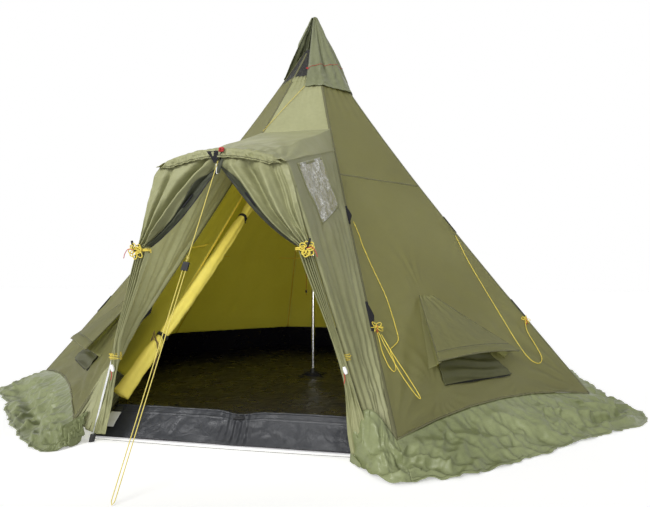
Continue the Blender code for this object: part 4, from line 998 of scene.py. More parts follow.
def front_cloth():
    """The short front side above the porch, gathered into its hem under the hood."""
    grid = []
    for z in span(CREASE_HEIGHT, FRONT_TOP, 60):
        row = []
        for u in span(0, 1, 90):
            here = Vector((u * 0.4, z, 9.0))
            out = 0.0042 * front_gather(u, z) * math.exp(-(FRONT_TOP - z) / 0.11)
            out += 0.003 * ripple(here, 5.0, 2) + 0.0015 * crumple(here, 9.0, 4)
            row.append(side_point(FRONT, u, z) + side_normal(FRONT, z) * out * sewn(u))
        grid.append(row)
    cloth("front_cloth", grid, "sage", "gathered", replaces=["front_panel"], rests_on=["peak_hood_cloth"])
    hem = []
    for drop, lift in ((0.042, 0.0), (0.04, 0.002), (0.02, 0.0032), (0.0, 0.002)):
        z = FRONT_TOP - drop
        row = []
        for u in span(0.01, 0.99, 90):
            out = lift + 0.0035 * front_gather(u, z) * sewn(u)
            row.append(side_point(FRONT, u, z) + side_normal(FRONT, z) * out)
        hem.append(row)
    cloth("front_cloth_hem", hem, "sage", thick=0.001)


def peak_net():
    """Netting that closes the peak's vent on two sides."""
    grid = []
    for z in span(FRONT_TOP, PANEL_TOP, 30):
        left = [side_point(FRONT_LEFT, u, z) for u in span(0, 1, 24)]
        front = [side_point(FRONT, u, z) for u in span(0, 1, 24)]
        grid.append(left[:-1] + [ridge_point(LEFT_RIDGE, z)] + front[1:])
    cloth("peak_net", grid, "net", "stretched", replaces=["peak_mesh"], thick=0, rests_on=["front_cloth"])


def ridge_seams():
    """A folded tape over each ridge."""
    half = 0.009
    for corner in range(SIDES):
        grid = []
        for z in span(HEM_HEIGHT + 0.004, 2.2, 110):
            share = half / side_width(z)
            left = side_point(corner - 1, 1 - share, z)
            right = side_point(corner, share, z)
            top = ridge_point(corner, z)
            out = corner_direction(corner) + UP * 0.4
            wobble = 0.0006 * ripple((z, corner, 0), 14.0, 3)
            row = [left, left.lerp(top, 0.12) + out * 0.0012, top + out * (0.0022 + wobble)]
            row += [right.lerp(top, 0.12) + out * 0.0012, right]
            grid.append(row)
        cloth(f"ridge_seam_{corner}", grid, "seam", thick=0.0008)


CROSS_SEAM_HEIGHT = 1.212


def cross_seams():
    """The seam across each side, about half way up, and the tape along its hem."""
    shares = span(0.004, 0.996, 100)
    cross = [CROSS_SEAM_HEIGHT] * len(shares)
    hem = [panel_hem(u) + 0.002 for u in shares]
    for side, name in enumerate(SIDE_NAMES):
        mirror = VENT_SIDES.get(side, 0)
        for label, heights, half in (("cross", cross, 0.004), ("hem", hem, 0.003)):
            grid = []
            for offset, lift in ((-half, 0.0), (-half * 0.8, 0.0009), (half * 0.8, 0.0009), (half, 0.0)):
                line = zip(shares, heights)
                grid.append([panel_place(side, u, z + offset, lift + 0.0008, mirror) for u, z in line])
            cloth(f"{label}_seam_{name}", grid, "seam", thick=0.0006)


def rim_radius(turn):
    """The skirts' ragged rim on the ground: turn is 0 at the front right ridge and goes up by 1 a side."""
    corner = round(turn)
    reach = RIM_AT_CORNERS.get(corner, RIM_AT_OTHER_CORNERS) - SKIRT_RIM
    jag = 0.02 * ripple((turn * 5.0, 0, 0), 1.0, 16) + 0.014 * crumple((turn * 1.35, 0, 2.0), 10.0, 17)
    return SKIRT_RIM + reach * hump(turn, corner, 0.23) + jag


def slanting(s, t, turn, long, wide, seed):
    """Sharp folds that run one way, long and wide in metres."""
    along_fold = s * math.cos(turn) + t * math.sin(turn)
    across_fold = t * math.cos(turn) - s * math.sin(turn)
    wander = 0.3 * ripple((along_fold * 6, 0, seed), 1.0, seed)
    return crease((along_fold / long, across_fold / wide + wander, 0), 1.0, seed) - 0.5


def skirt_crush(s, v):
    """Crushed cloth, s metres along the rim: folds that slant four ways, and a valley beside the rim."""
    t = v * SKIRT_WIDTH
    total = 0.026 * slanting(s, t, 0.5, 0.3, 0.085, 11) + 0.017 * slanting(s, t, -0.7, 0.2, 0.06, 12)
    total += 0.009 * slanting(s, t, 1.3, 0.13, 0.04, 13) + 0.0035 * slanting(s, t, 0.1, 0.07, 0.02, 14)
    valley = hump(v, 0.66 + 0.14 * ripple((s * 2.2, 0, 0), 1.0, 15), 0.09)
    return total - 0.024 * valley * smooth(-0.2, 0.2, ripple((s * 1.5, 4.0, 0), 1.0, 18))


def laid_out(start, rim, s, v):
    """A point of crushed cloth that falls from start to rim."""
    flat = start.xy.lerp(rim.xy, v)
    height = (start.z - SKIRT_CLOTH) * (1 - v) ** 1.5 + SKIRT_CLOTH
    point = Vector((*flat, height))
    out = (flat.to_3d().normalized() * (1 - v) ** 0.7 + UP * (0.25 + v)).normalized()
    depth = smooth(0.0, 0.22, v) * (1 - 0.55 * smooth(0.8, 1.0, v))
    gather = 0.004 * math.sin(s * 105 + 3 * ripple((s * 7, v * 2, 0), 1.0, 6)) * math.exp(-v / 0.16)
    point += out * ((skirt_crush(s, v) + 0.006) * depth + gather * smooth(0, 0.05, v))
    point.z = max(0.0022, point.z)
    return point


def skirt_place(side, u, v):
    """A point on a skirt: u along the side, v from its hem to the rim."""
    hem = panel_hem(u) - SEAM
    turn = side + u
    angle = -math.pi / 2 + (2 * turn + 1) * HALF_STEP
    rim = Vector((math.cos(angle), math.sin(angle), 0)) * rim_radius(turn)
    return laid_out(side_point(side, u, hem), rim, turn * SKIRT_LENGTH, v)


# Points along the hem and along the rim, from the ridge round to the leg
APRONS = {
    1: (
        ((0.634, -1.53, 0.092), (0.612, -1.526, 0.12), (0.565, -1.528, 0.18), (0.525, -1.528, 0.19),
         (0.475, -1.508, 0.15)),
        ((0.689, -1.663, 0), (0.63, -1.68, 0), (0.56, -1.63, 0), (0.505, -1.565, 0), (0.468, -1.515, 0)),
    ),
    -1: (
        ((-0.634, -1.53, 0.092), (-0.618, -1.522, 0.1), (-0.6, -1.512, 0.115), (-0.588, -1.503, 0.12)),
        ((-0.679, -1.64, 0), (-0.645, -1.632, 0), (-0.615, -1.6, 0), (-0.598, -1.53, 0)),
    ),
}


def aprons():
    """The skirts go on round the front ridges as far as the porch legs."""
    count = 60
    for mirror, place in HALVES:
        start = 0.0 if mirror > 0 else LEFT_RIDGE * SKIRT_LENGTH
        lines = []
        for points in APRONS[mirror]:
            route = smooth_route(points, 0.004)
            lines.append([route[round(n / (count - 1) * (len(route) - 1))] for n in range(count)])
        places = [(hem, rim, start - mirror * s) for hem, rim, s in zip(*lines, span(0, 0.3, count))]
        grid = [[laid_out(hem, rim, s, v) for hem, rim, s in places] for v in span(0, 1, 40)]
        cloth("apron_" + place, grid, "skirt", thick=0.0014)


def skirts():
    """The skirts on the ground, each with a hem at its rim."""
    for side, name in enumerate(SIDE_NAMES):
        grid = [[skirt_place(side, u, v) for u in span(0, 1, 190)] for v in span(0, 1, 44)]
        cloth("skirt_" + name, grid, "skirt", "draped", replaces=["snow_skirt_" + name], thick=0.0014,
              rests_on=["side_" + name])
        edge = [[skirt_place(side, u, v) + UP * lift for u in span(0, 1, 190)]
                for v, lift in ((0.945, 0.0002), (0.95, 0.0016), (0.985, 0.002), (1.0, 0.0008))]
        cloth("skirt_edge_" + name, edge, "skirt", thick=0.0008)


# Peak hood


def hood_hem(angle):
    """Height of the hood's hem, which rises towards the left."""
    share = min(1.0, max(0.0, (angle - math.pi / 4) / (math.pi * 0.75)))
    return HOOD_HEM + (HOOD_HEM_LEFT - HOOD_HEM) * share


def hood_radius(angle, z):
    """The hood's cone: it clears the ridges at its hem and narrows to its tip."""
    hem = hood_hem(angle)
    step = 2 * HALF_STEP
    turn = (angle + math.pi / 2 + HALF_STEP) % step - HALF_STEP
    start = ridge_radius(hem) * math.cos(HALF_STEP) / math.cos(turn) + HOOD_CLEARANCE
    s = (HOOD_TIP - z) / (HOOD_TIP - hem)
    return HOOD_TIP_RADIUS + (start - HOOD_TIP_RADIUS) * s


def hood_point(angle, v, out=0.0):
    """A point on the hood's cone: v from its hem to its tip."""
    z = hood_hem(angle) * (1 - v) + HOOD_TIP * v
    radius = hood_radius(angle, z) + out
    return Vector((radius * math.cos(angle), radius * math.sin(angle), z))


def hood_cloth_point(angle, v):
    """Folds run down from the tip, and the cloth is crushed under its cord and at the front edge."""
    drift = 1.8 * ripple((angle * 1.3, v * 2.0, 1.0), 1.0, 21)
    room = 0.25 + 0.75 * smooth(1.0, 0.55, v)
    folds = 0.011 * math.sin(angle * 9 + drift + 3 * v) + 0.006 * math.sin(angle * 21 - 2 * drift)
    front = hump(angle, HOOD_START, 0.75)
    place = Vector((angle * 0.25, v * 0.5, 3.0))
    crush = (0.002 + 0.007 * front * smooth(0.5, 0.05, v)) * crumple(place, 17.0, 22)
    out = folds * room * (0.35 + 0.65 * smooth(0.0, 0.25, v)) + crush + 0.004 * (1 - v)
    return hood_point(angle, v, out)


def peak_hood():
    """The hood, open at the front left, with its hem and the binding at its tip."""
    angles = span(HOOD_START, HOOD_END, 190)
    levels = span(0, 0.985, 74)
    grid = [[hood_cloth_point(angle, v) for angle in angles] for v in levels]
    grid.append([hood_point(angle, 0.99, -HOOD_TIP_RADIUS * 0.75) for angle in angles])
    cloth("peak_hood_cloth", grid, "hood", "draped", replaces=["peak_hood"], rests_on=["pole_top_cap"])
    hem = [[hood_cloth_point(angle, v) for angle in angles] for v in (0.0, 0.004, 0.026, 0.03)]
    for row, lift in zip(hem, (0.0008, 0.0018, 0.0018, 0.0006)):
        for n, angle in enumerate(angles):
            row[n] = row[n] + Vector((math.cos(angle), math.sin(angle), 0.2)) * lift
    cloth("hood_hem", hem, "hood", thick=0.0008)
    ring = [hood_point(angle, 0.955, 0.0015) for angle in span(HOOD_START, HOOD_END, 60)]
    tube("hood_tip_binding", ring, 0.0022, "seam")


# Porch


def roof_point(t, v, out=0.0):
    """The porch roof: t from -1 at its left edge to 1, v from the front hem to the body."""
    columns, eave = 16, 3
    j = (t + 1) / 2 * columns
    front = arch_point(t, lift=POLE_RADIUS + CLOTH + 0.003 - EAVE_FALL * EAVE, forward=EAVE)
    near = min(j, columns - j)
    if near <= eave:
        z = ROOF_EAVE_HEIGHT + (CREASE_HEIGHT - ROOF_EAVE_HEIGHT) * near / eave
        back = ridge_point(LEFT_RIDGE if t < 0 else RIGHT_RIDGE, z)
    else:
        back = side_point(FRONT, (j - eave) / (columns - 2 * eave), CREASE_HEIGHT)
    point = front.lerp(back, v)
    point.z -= ROOF_SAG * math.sin(math.pi * v) * (1 - t * t)
    return point + Vector((0, -0.35, 0.94)) * out


def roof_out(t, v):
    """How far the roof's cloth stands off: puckers at its front edge, folds from its middle and corners."""
    place = Vector((t * 0.5, v * 0.5, 5.0))
    pucker = 0.0038 * math.sin(t * 34 + 3.2 * ripple(place, 9.0, 31)) * math.exp(-v / 0.1)
    total = pucker * (0.45 + 0.55 * smooth(-0.2, 0.6, t))
    for at, reach, folds, depth in ((0.0, 0.35, 15, 0.003), (-1.0, 0.4, 17, 0.004), (1.0, 0.45, 17, 0.004)):
        dx, dy = (t - at) * 0.3, v * 0.55
        away = math.hypot(dx, dy)
        fade = math.exp(-away / reach) * smooth(0.02, 0.12, away)
        total += depth * math.sin(folds * math.atan2(dy, dx) + 2 * ripple(place, 3.0, 33)) * fade
    return (total + 0.0025 * ripple(place, 5.0, 34)) * smooth(1.0, 0.93, v)


HEM_BAND = 0.03


def roof_hem_point(t, drop):
    """The roof's hem, a wrinkled band that hangs from its front edge and rounds its corners."""
    near = roof_point(t * 0.94, 0.0)
    place = Vector((t * 0.5, drop * 3, 8.0))
    drop *= 1 - 0.85 * smooth(0.8, 1.0, abs(t))
    pucker = 0.003 * math.sin(t * 52 + 3 * ripple(place, 8.0, 36)) + 0.004 * crumple(place, 22.0, 37)
    corner = 0.012 * smooth(0.86, 1.0, abs(t))
    return near + Vector((0, corner - 0.003 - pucker * min(1.0, drop / 0.01), -drop - corner * 0.5))


def porch_roof():
    """The roof's cloth, the band that hangs from its front edge, and its seams."""
    grid = [[roof_point(t, v, roof_out(t, v)) for t in span(-1, 1, 150)] for v in span(0, 1, 56)]
    cloth("porch_roof_cloth", grid, "sage", "stretched", replaces=["porch_roof"],
          rests_on=["porch_arch_bar"])
    band = [[roof_hem_point(t, drop) for t in span(-1, 1, 190)] for drop in span(-0.003, HEM_BAND, 14)]
    cloth("roof_hem_band", band, "sage", thick=0.0014)
    stitch = [[roof_hem_point(t, drop) - Vector((0, lift, 0)) for t in span(-0.99, 0.99, 150)]
              for drop, lift in ((0.0225, 0.0006), (0.023, 0.0014), (0.0245, 0.0014), (0.025, 0.0006))]
    cloth("roof_hem_stitching", stitch, "seam", thick=0.0006)
    for sign, label in HALVES:
        off = Vector((sign * 0.001, -0.001, 0.0005))
        edge = [roof_point(sign * 0.998, v) + off for v in span(0.01, 1, 50)]
        tube("roof_seam_" + label, edge, 0.0022, "sage")
    fold = [side_point(FRONT, u, CREASE_HEIGHT) + Vector((0, -0.001, 0.0)) for u in span(0, 1, 40)]
    tube("roof_crease_seam", fold, 0.0016, "sage")


# The window in shares of the right porch side: top, foot, and both ends of its left and right edges
WINDOW_TOP, WINDOW_FOOT = 0.042, 0.24
WINDOW_LEFT, WINDOW_RIGHT = (0.13, 0.27), (0.60, 0.76)


def porch_side_base(mirror, u, v):
    """The porch side between leg and ridge: u from the leg to the ridge, v down from the roof's edge."""
    corner = LEFT_RIDGE if mirror < 0 else RIGHT_RIDGE
    across = UP.cross(corner_direction(corner)) * (-mirror)
    leg_z = ARCH_CORNER_HEIGHT - 0.01 - v * (ARCH_CORNER_HEIGHT - 0.044)
    ridge_z = ROOF_EAVE_HEIGHT - 0.006 - v * (ROOF_EAVE_HEIGHT - 0.006 - HEM_HEIGHT)
    leg = leg_point(mirror, leg_z) + Vector((mirror * (POLE_RADIUS + CLOTH), 0.004, 0))
    ridge = ridge_point(corner, ridge_z) + across * (CLOTH * 0.62)
    point = leg.lerp(ridge, u)
    if v < 0.1:
        start = 1 - (leg.y - ridge.y) / (roof_point(mirror, 0.0).y - ridge.y)
        top = roof_point(mirror, start + (1 - start) * u) - leg.lerp(ridge, u)
        point += top * smooth(0.1, 0.0, v)
    return point


def porch_side_normal(mirror):
    top_leg, top_ridge, foot = (porch_side_base(mirror, *uv) for uv in ((0, 0), (1, 0), (0, 1)))
    normal = (top_ridge - top_leg).cross(foot - top_leg).normalized()
    return normal if normal.x * mirror > 0 else -normal


def porch_side_out(mirror, u, v):
    """Long folds down the side, and crushed cloth towards its foot, most of all on the left."""
    place = Vector((u * 0.6, v * 1.2, mirror * 7.0))
    drift = 2.4 * ripple(place, 2.0, 41)
    pleats = crease((u * 7.0 + 0.16 * drift, v * 0.8, mirror * 3.0), 1.0, 44) - 0.5
    folds = 0.02 * pleats * smooth(0.0, 0.2, v) + 0.003 * math.sin(u * math.pi * 17 - drift)
    low = smooth(0.5, 0.85, v) * (1.0 if mirror < 0 else 0.45)
    crush = 0.003 * crumple(place, 9.0, 42) + low * 0.012 * crumple(place, 5.0, 43)
    in_window = smooth(0.0, 0.02, v) * smooth(0.3, 0.24, v) if mirror > 0 else 0.0
    return (folds * (1 - 0.8 * in_window) + crush) * sewn(u, 10) * smooth(0, 0.06, v)


def porch_side_place(mirror, u, v, out=0.0):
    """A point on the wrinkled cloth of a porch side."""
    normal = porch_side_normal(mirror)
    hang = -0.005 * bow(u) + 0.0015 * (1 - u)
    off = hang * math.sin(math.pi * v) + porch_side_out(mirror, u, v) + out
    return porch_side_base(mirror, u, v) + normal * off


def window_edges(v):
    """Where the window begins and ends at this place down the side."""
    t = min(1.0, max(0.0, (v - WINDOW_TOP) / (WINDOW_FOOT - WINDOW_TOP)))
    return tuple(ends[0] + (ends[1] - ends[0]) * t for ends in (WINDOW_LEFT, WINDOW_RIGHT))


SIDE_BLOCKS = (14, 30, 20)
SIDE_ROWS = (4, 24, 76)


def porch_sides():
    """The porch's sides, the right one with a hole for the window."""
    hole = (range(SIDE_ROWS[0], sum(SIDE_ROWS[:2])), range(SIDE_BLOCKS[0], sum(SIDE_BLOCKS[:2])))
    levels = in_blocks(WINDOW_TOP, WINDOW_FOOT, SIDE_ROWS)
    for mirror, place in HALVES:
        grid = []
        for v in levels:
            shares = in_blocks(*window_edges(v), SIDE_BLOCKS)
            grid.append([porch_side_place(mirror, u, v) for u in shares])
        cloth("porch_side_cloth_" + place, grid, "sage", "stretched", replaces=["porch_side_" + place],
              hole=hole if mirror > 0 else None, rests_on=["porch_leg_" + place])
        ridge = [porch_side_place(mirror, 1.0, v, 0.0016) for v in span(0.0, 1, 80)]
        tube("porch_seam_" + place, ridge, 0.0024, "seam")


def porch_window():
    """The clear sheet, which reaches a little under the cloth, and the binding sewn round it."""
    rows = []
    for v in span(WINDOW_TOP - 0.004, WINDOW_FOOT + 0.004, 60):
        left, right = window_edges(v)
        row = []
        for u in span(left - 0.01, right + 0.01, 50):
            place = Vector((u * 0.4, v * 1.2, 2.0))
            buckle = 0.005 * crumple(place, 13.0, 51) + 0.002 * crease(place, 40.0, 52)
            inside = smooth(left - 0.01, left + 0.08, u) * smooth(right + 0.01, right - 0.08, u)
            row.append(porch_side_place(1, u, v, buckle * inside + 0.0012))
        rows.append(row)
    cloth("porch_window_sheet", rows, "clear", "stretched", replaces=["porch_window"], thick=0,
          rests_on=["porch_side_cloth_right"])
    corners = [(WINDOW_LEFT[0], WINDOW_TOP), (WINDOW_RIGHT[0], WINDOW_TOP), (WINDOW_RIGHT[1], WINDOW_FOOT)]
    corners += [(WINDOW_LEFT[1], WINDOW_FOOT), (WINDOW_LEFT[0], WINDOW_TOP)]
    line = []
    for (u0, v0), (u1, v1) in zip(corners, corners[1:]):
        line += [(u0 + (u1 - u0) * t, v0 + (v1 - v0) * t) for t in span(0, 1, 24)[:-1]]
    middle_u, middle_v = 0.44, 0.14
    binding = []
    for u, v in [*line, line[0]]:
        pair = []
        for wide, tall in ((1.06, 1.08), (0.97, 0.95)):
            across = middle_u + (u - middle_u) * wide
            down = middle_v + (v - middle_v) * tall
            pair.append(porch_side_place(1, across, down, 0.002))
        binding.append(pair)
    cloth("window_binding", binding, "sage", thick=0.001)


def sleeves():
    """The cloth tubes that the porch poles run in; the left leg comes out of its sleeve half way up."""
    for mirror, place, low in ((-1, "left", 0.42), (1, "right", 0.075)):
        route = [leg_point(mirror, z) + Vector((mirror * 0.001, 0.001, 0)) for z in span(low, 1.05, 90)]
        full = [0.0088 + 0.0018 * ripple((s * 30, mirror, 0), 1.0, 61) + 0.002 * smooth(0.06, 0.0, s)
                for s in span(0, 1, 90)]
        tube("leg_sleeve_" + place, route, full, "sage", sides=14)
    route = [arch_point(t) for t in span(-0.97, 0.97, 90)]
    full = [0.009 + 0.0012 * ripple((s * 40, 0, 1), 1.0, 62) for s in span(0, 1, 90)]
    tube("arch_sleeve", route, full, "sage", sides=14)
    for mirror, place in HALVES:
        corner = leg_point(mirror, ARCH_CORNER_HEIGHT - 0.02)
        cap = [corner + (leg_point(mirror, 0.98) - corner) * t for t in (1, 0.5, 0)]
        cap += [arch_point(mirror * t) for t in (0.97, 0.93, 0.88)]
        tube("arch_corner_" + place, smooth_route(cap, 0.006), 0.0105, "sage", sides=14)


def curtain_edges(mirror, v):
    """The edge at the leg and the free edge: v to 1 at the tie and to 2 at the foot."""
    if v <= 1:
        top = ARCH_CORNER_HEIGHT - SEAM
        neck = TIE_HEIGHT + TIE_BAND / 2
        z_leg = top + (neck - top) * v
        leg = abs(leg_point(1, z_leg).x) - 0.004
        x, z = 0.002, ARCH_CROWN_HEIGHT - SEAM
        if v < CURTAIN_CLOSED:
            z += (CURTAIN_APEX - z) * v / CURTAIN_CLOSED
        else:
            s = (v - CURTAIN_CLOSED) / (1 - CURTAIN_CLOSED)
            x += (leg_point(1, TIE_HEIGHT).x - TIE_WIDTH - x) * (0.86 * s + 0.14 * s**2)
            z = CURTAIN_APEX + (neck - CURTAIN_APEX) * (0.85 * s + 0.15 * math.sin(s * math.pi / 2))
        return (mirror * leg, z_leg), (mirror * x, z)
    w = v - 1
    neck = TIE_HEIGHT - TIE_BAND / 2
    z = neck + (CURTAIN_FOOT_HEIGHT - neck) * w
    leg = leg_point(1, z).x - 0.004
    narrow = TIE_WIDTH * (1 - 0.42 * smooth(0.0, 0.45, w))
    foot = 0.05 if mirror < 0 else CURTAIN_FOOT_WIDTH
    width = narrow + (foot - narrow) * smooth(0.6, 1.0, w)
    return (mirror * leg, z), (mirror * (leg - width), z)


# Share from the leg at the tie, how far that moves towards the top, width, depth inwards
CURTAIN_FOLDS = {
    -1: (
        (0.42, 0.42, 0.075, 0.056),
        (0.2, 0.04, 0.045, 0.024),
        (0.62, 0.3, 0.055, -0.028),
        (0.83, 0.1, 0.03, 0.015),
    ),
    1: (
        (0.6, -0.04, 0.08, 0.042),
        (0.24, -0.06, 0.045, 0.02),
        (0.42, -0.1, 0.07, -0.018),
        (0.8, 0.02, 0.05, -0.014),
        (0.12, 0.0, 0.03, 0.014),
    ),
}


def curtain_fold(mirror, u, v, place):
    """How far the cloth lies inwards: a few broad folds above the tie, and narrow ones drawn in by it."""
    broad = 0.0
    sway = 0.07 * ripple((v * 2.2, mirror, 0), 1.0, 74)
    for at, shift, width, depth in CURTAIN_FOLDS[mirror]:
        centre = at + shift * math.exp(-(v - 0.1) / 0.22) + sway
        broad += depth * hump(u, centre, width)
    away = abs(v - 1)
    phase = 2 * math.pi * (5.2 * u + 0.5 * math.sin(3 * u))
    phase += 1.6 * ripple(place, 4.0, 71) * smooth(0.03, 0.4, away)
    narrow = 0.011 * math.sin(phase) * math.exp(-away / 0.3)
    return broad * smooth(0.04, 0.3, v) * smooth(1.0, 0.8, v) + narrow * min(1.0, v * 2)


def curtain_place(mirror, u, v, out=0.0):
    """A door curtain: u from the leg to its free edge, v to 1 at the tie and to 2 at its foot."""
    outer, inner = curtain_edges(mirror, v)
    x = outer[0] + (inner[0] - outer[0]) * u
    z = outer[1] + (inner[1] - outer[1]) * u
    if v < 1:
        arch = arch_point(min(1.0, abs(x) / ARCH_HALF_WIDTH)).z - SEAM
        z += (arch - (outer[1] * (1 - u) + inner[1] * u)) * (1 - v) ** 3
    plane = leg_point(1, min(z, ARCH_CORNER_HEIGHT)).y
    low = max(0.0, v - 1)
    place = Vector((u * 0.35 + mirror * 5.0, v * 0.4, 2.0 + mirror))
    fold = curtain_fold(mirror, u, v, place)
    swell = 0.02 * math.sin(math.pi * u) * math.sin(math.pi * min(1.0, v))
    gap = SEAM + (CURTAIN_GAP - SEAM) * min(1.0, v * 5)
    crush = 0.005 * crumple(place, 9.0, 72) * smooth(0.02, 0.25, v) * (1 - 0.4 * smooth(0.8, 1.0, v))
    crush += 0.009 * smooth(0.25, 0.7, low) * crumple(place, 8.0, 73)
    behind = 0.03 * smooth(0.45, 0.65, low) if mirror < 0 else 0.0
    deep = FOLD_DEPTH * min(1.0, v * 1.2)
    clear = PULL_CLEARANCE * hump(x, ZIP_PULL_TOP.x, 0.03) * hump(z, ZIP_PULL_TOP.z - 0.02, 0.04)
    y = plane - POLE_RADIUS - gap - CURTAIN_CLOTH / 2 - deep + fold - swell - crush - out + behind + clear
    return Vector((x, y, z))


def curtains():
    """Door curtains, with a dark facing, a patch and the zip's teeth at their free edges."""
    for mirror, place in HALVES:
        levels = span(0, 1, 120) + span(1.0001, 2, 100)
        grid = [[curtain_place(mirror, u, v) for u in span(0, 1, 150)] for v in levels]
        cloth("curtain_" + place, grid, "sage", "gathered", replaces=["door_curtain_" + place], thick=0.0014,
              rests_on=["porch_arch_bar"])
        wide = 0.2 if mirror < 0 else 0.16
        facing = []
        for v in span(0.2, 0.98, 110):
            row = []
            for t in span(0, 1, 16):
                here = Vector((t * 0.06, v * 0.4, 6.0 + mirror))
                lift = 0.0035 + 0.005 * hump(t, 0, 0.12) + 0.003 * crumple(here, 26.0, 75)
                row.append(curtain_place(mirror, 1 - wide * (1 - t) * smooth(0.18, 0.4, v), v, lift))
            facing.append(row)
        cloth("curtain_facing_" + place, facing, "facing", thick=0.001)
        offsets = (-0.035, -0.012, 0.012, 0.035)
        patch = [[curtain_place(mirror, 0.88 + offset, v, 0.0085) for offset in offsets]
                 for v in span(0.46, 0.57, 12)]
        cloth("curtain_patch_" + place, patch, "webbing", thick=0.0016)
        off = Vector((-mirror * 0.001, 0, 0))
        teeth = [curtain_place(mirror, 1.0, v, 0.003) + off for v in span(0.2, 0.98, 90)]
        tube("door_zip_" + place, teeth, 0.0024, "plastic")
    closed = [curtain_place(1, 1.0, v, 0.006) for v in span(0.03, CURTAIN_CLOSED, 24)]
    tube("door_zip_shut", closed, 0.0024, "webbing")


def bunch(centre, spread, count, seed, out):
    """A hank of cord tucked behind its tie: loops of different sizes through one place."""
    route = []
    for n in range(count):
        turn = 2 * math.pi * (n * 0.618 + seed * 0.13)
        size = spread * (0.7 + 0.5 * abs(ripple((n, seed, 0), 1.7, 81)))
        along_loop = (UP * math.cos(turn) + Vector((1, 0, 0)) * math.sin(turn)).normalized()
        side = (along_loop.cross(out) + out * 0.5 * math.sin(n * 2.2)).normalized()
        for angle in circle(8):
            offset = along_loop * (size * (1 - math.cos(angle)) / 2) + side * (size * 0.36 * math.sin(angle))
            route.append(centre + offset + out * (0.002 + 0.004 * math.sin(angle / 2 + n)))
    return smooth_route(route, 0.004)


def ties():
    """Yellow cord holds each curtain to its leg, with its spare length in a hank and red ends."""
    deep = FOLD_DEPTH + CURTAIN_CLOTH / 2
    half = (TIE_WIDTH / 2 + TIE_RADIUS + 0.0016, deep + TIE_RADIUS + 0.0011)
    for mirror, place in HALVES:
        centre = leg_point(mirror, TIE_HEIGHT)
        centre += Vector((-mirror * (0.004 + TIE_WIDTH / 2), -POLE_RADIUS - 0.008 - deep, 0))
        loop = []
        for n in range(49):
            angle = 2 * math.pi * (n + 0.5) / 24
            round_x = math.copysign(abs(math.cos(angle)) ** 0.5, math.cos(angle)) * half[0]
            round_y = math.copysign(abs(math.sin(angle)) ** 0.5, math.sin(angle)) * half[1]
            loop.append(centre + Vector((round_x, round_y, 0.0055 * (n / 24 - 1))))
        cord("curtain_tie_cord_" + place, smooth_route(loop, 0.004), TIE_RADIUS, "yellow_cord",
             ["curtain_tie_" + place])
        knot = centre + Vector((mirror * (half[0] * 0.55), -half[1] - 0.006, 0.0))
        route = bunch(knot, 0.036, 9, 3 + mirror, Vector((0, -1, 0)))
        cord("tie_hank_" + place, route, TIE_RADIUS * 0.8, "yellow_cord")
        tail = ((0, -0.006, 0), (0.02, -0.012, 0.004), (0.034, -0.012, -0.012), (0.04, -0.01, -0.03))
        tail = [knot + Vector((mirror * x, y, z)) for x, y, z in tail]
        tube("tie_tail_" + place, smooth_route(tail, 0.003), THIN_RADIUS, "red_cord")
        strap = ((-0.004, -0.004), (0.006, 0.014), (0.012, 0.036))
        strap = [knot + Vector((mirror * x, -0.004, z)) for x, z in strap]
        tube("tie_toggle_" + place, smooth_route(strap, 0.004), 0.0042, "webbing")


# Inner tent


def inner_grid(low, high, rows, columns, cells=SIDES):
    """Rows of points round the inner tent, from the first ridge on, hollowed a little between the ridges."""
    grid = []
    for z in span(low, high, rows):
        row = []
        for side in range(cells):
            a, b = inner_point(side, z), inner_point(side + 1, z)
            for t in span(0, 1, columns + 1)[:-1]:
                here = Vector((side * 2.0 + t, z * 1.4, 0))
                sway = 0.012 * ripple(here, 1.6, 91) + 0.006 * ripple(here, 5.0, 92)
                folds = 0.003 * math.sin(t * math.pi * 9 + 2 * ripple(here, 2.0, 93))
                hang = (0.02 * math.sin(math.pi * t) + sway + folds) * sewn(t, 7)
                row.append(a.lerp(b, t) - side_direction(side) * hang * smooth(low - 0.01, low + 0.12, z))
        if cells < SIDES:
            row.append(inner_point(cells, z))
        grid.append(row)
    return grid


# The inner tent's oval window: its side, the share across it, its height and its half sizes
INNER_WINDOW = (FRONT_LEFT, 0.5, 0.42, 0.16, 0.1)


def inner_tent():
    """The inner tent's walls, and the seams over its ridges and round it."""
    lower = inner_grid(TRAY_HEIGHT, INNER_DOOR_TOP, 84, 30, FRONT)
    cloth("inner_walls", lower, "yellow", "hung", replaces=["inner_tent"], thick=0.001,
          rests_on=["inner_floor"])
    upper = inner_grid(INNER_DOOR_TOP, INNER_TOP, 34, 30)
    cloth("inner_peak", upper, "yellow", "hung", wrap=True, thick=0.001, rests_on=["inner_walls"])
    for corner in range(SIDES):
        path = [inner_point(corner, z, 0.004) for z in span(TRAY_HEIGHT, INNER_TOP, 70)]
        across = UP.cross(corner_direction(corner)) * 0.006
        inward = -corner_direction(corner)
        strip(f"inner_seam_{corner}", path, across, [inward] * len(path), "yellow_seam", 0.002)
    cross = [p - p.normalized() * 0.004 for p in inner_grid(0.84, 0.841, 2, 30, FRONT)[0]]
    inward = [-p.xy.to_3d().normalized() for p in cross]
    strip("inner_cross_seam", cross, UP * 0.005, inward, "yellow_seam", 0.0015)


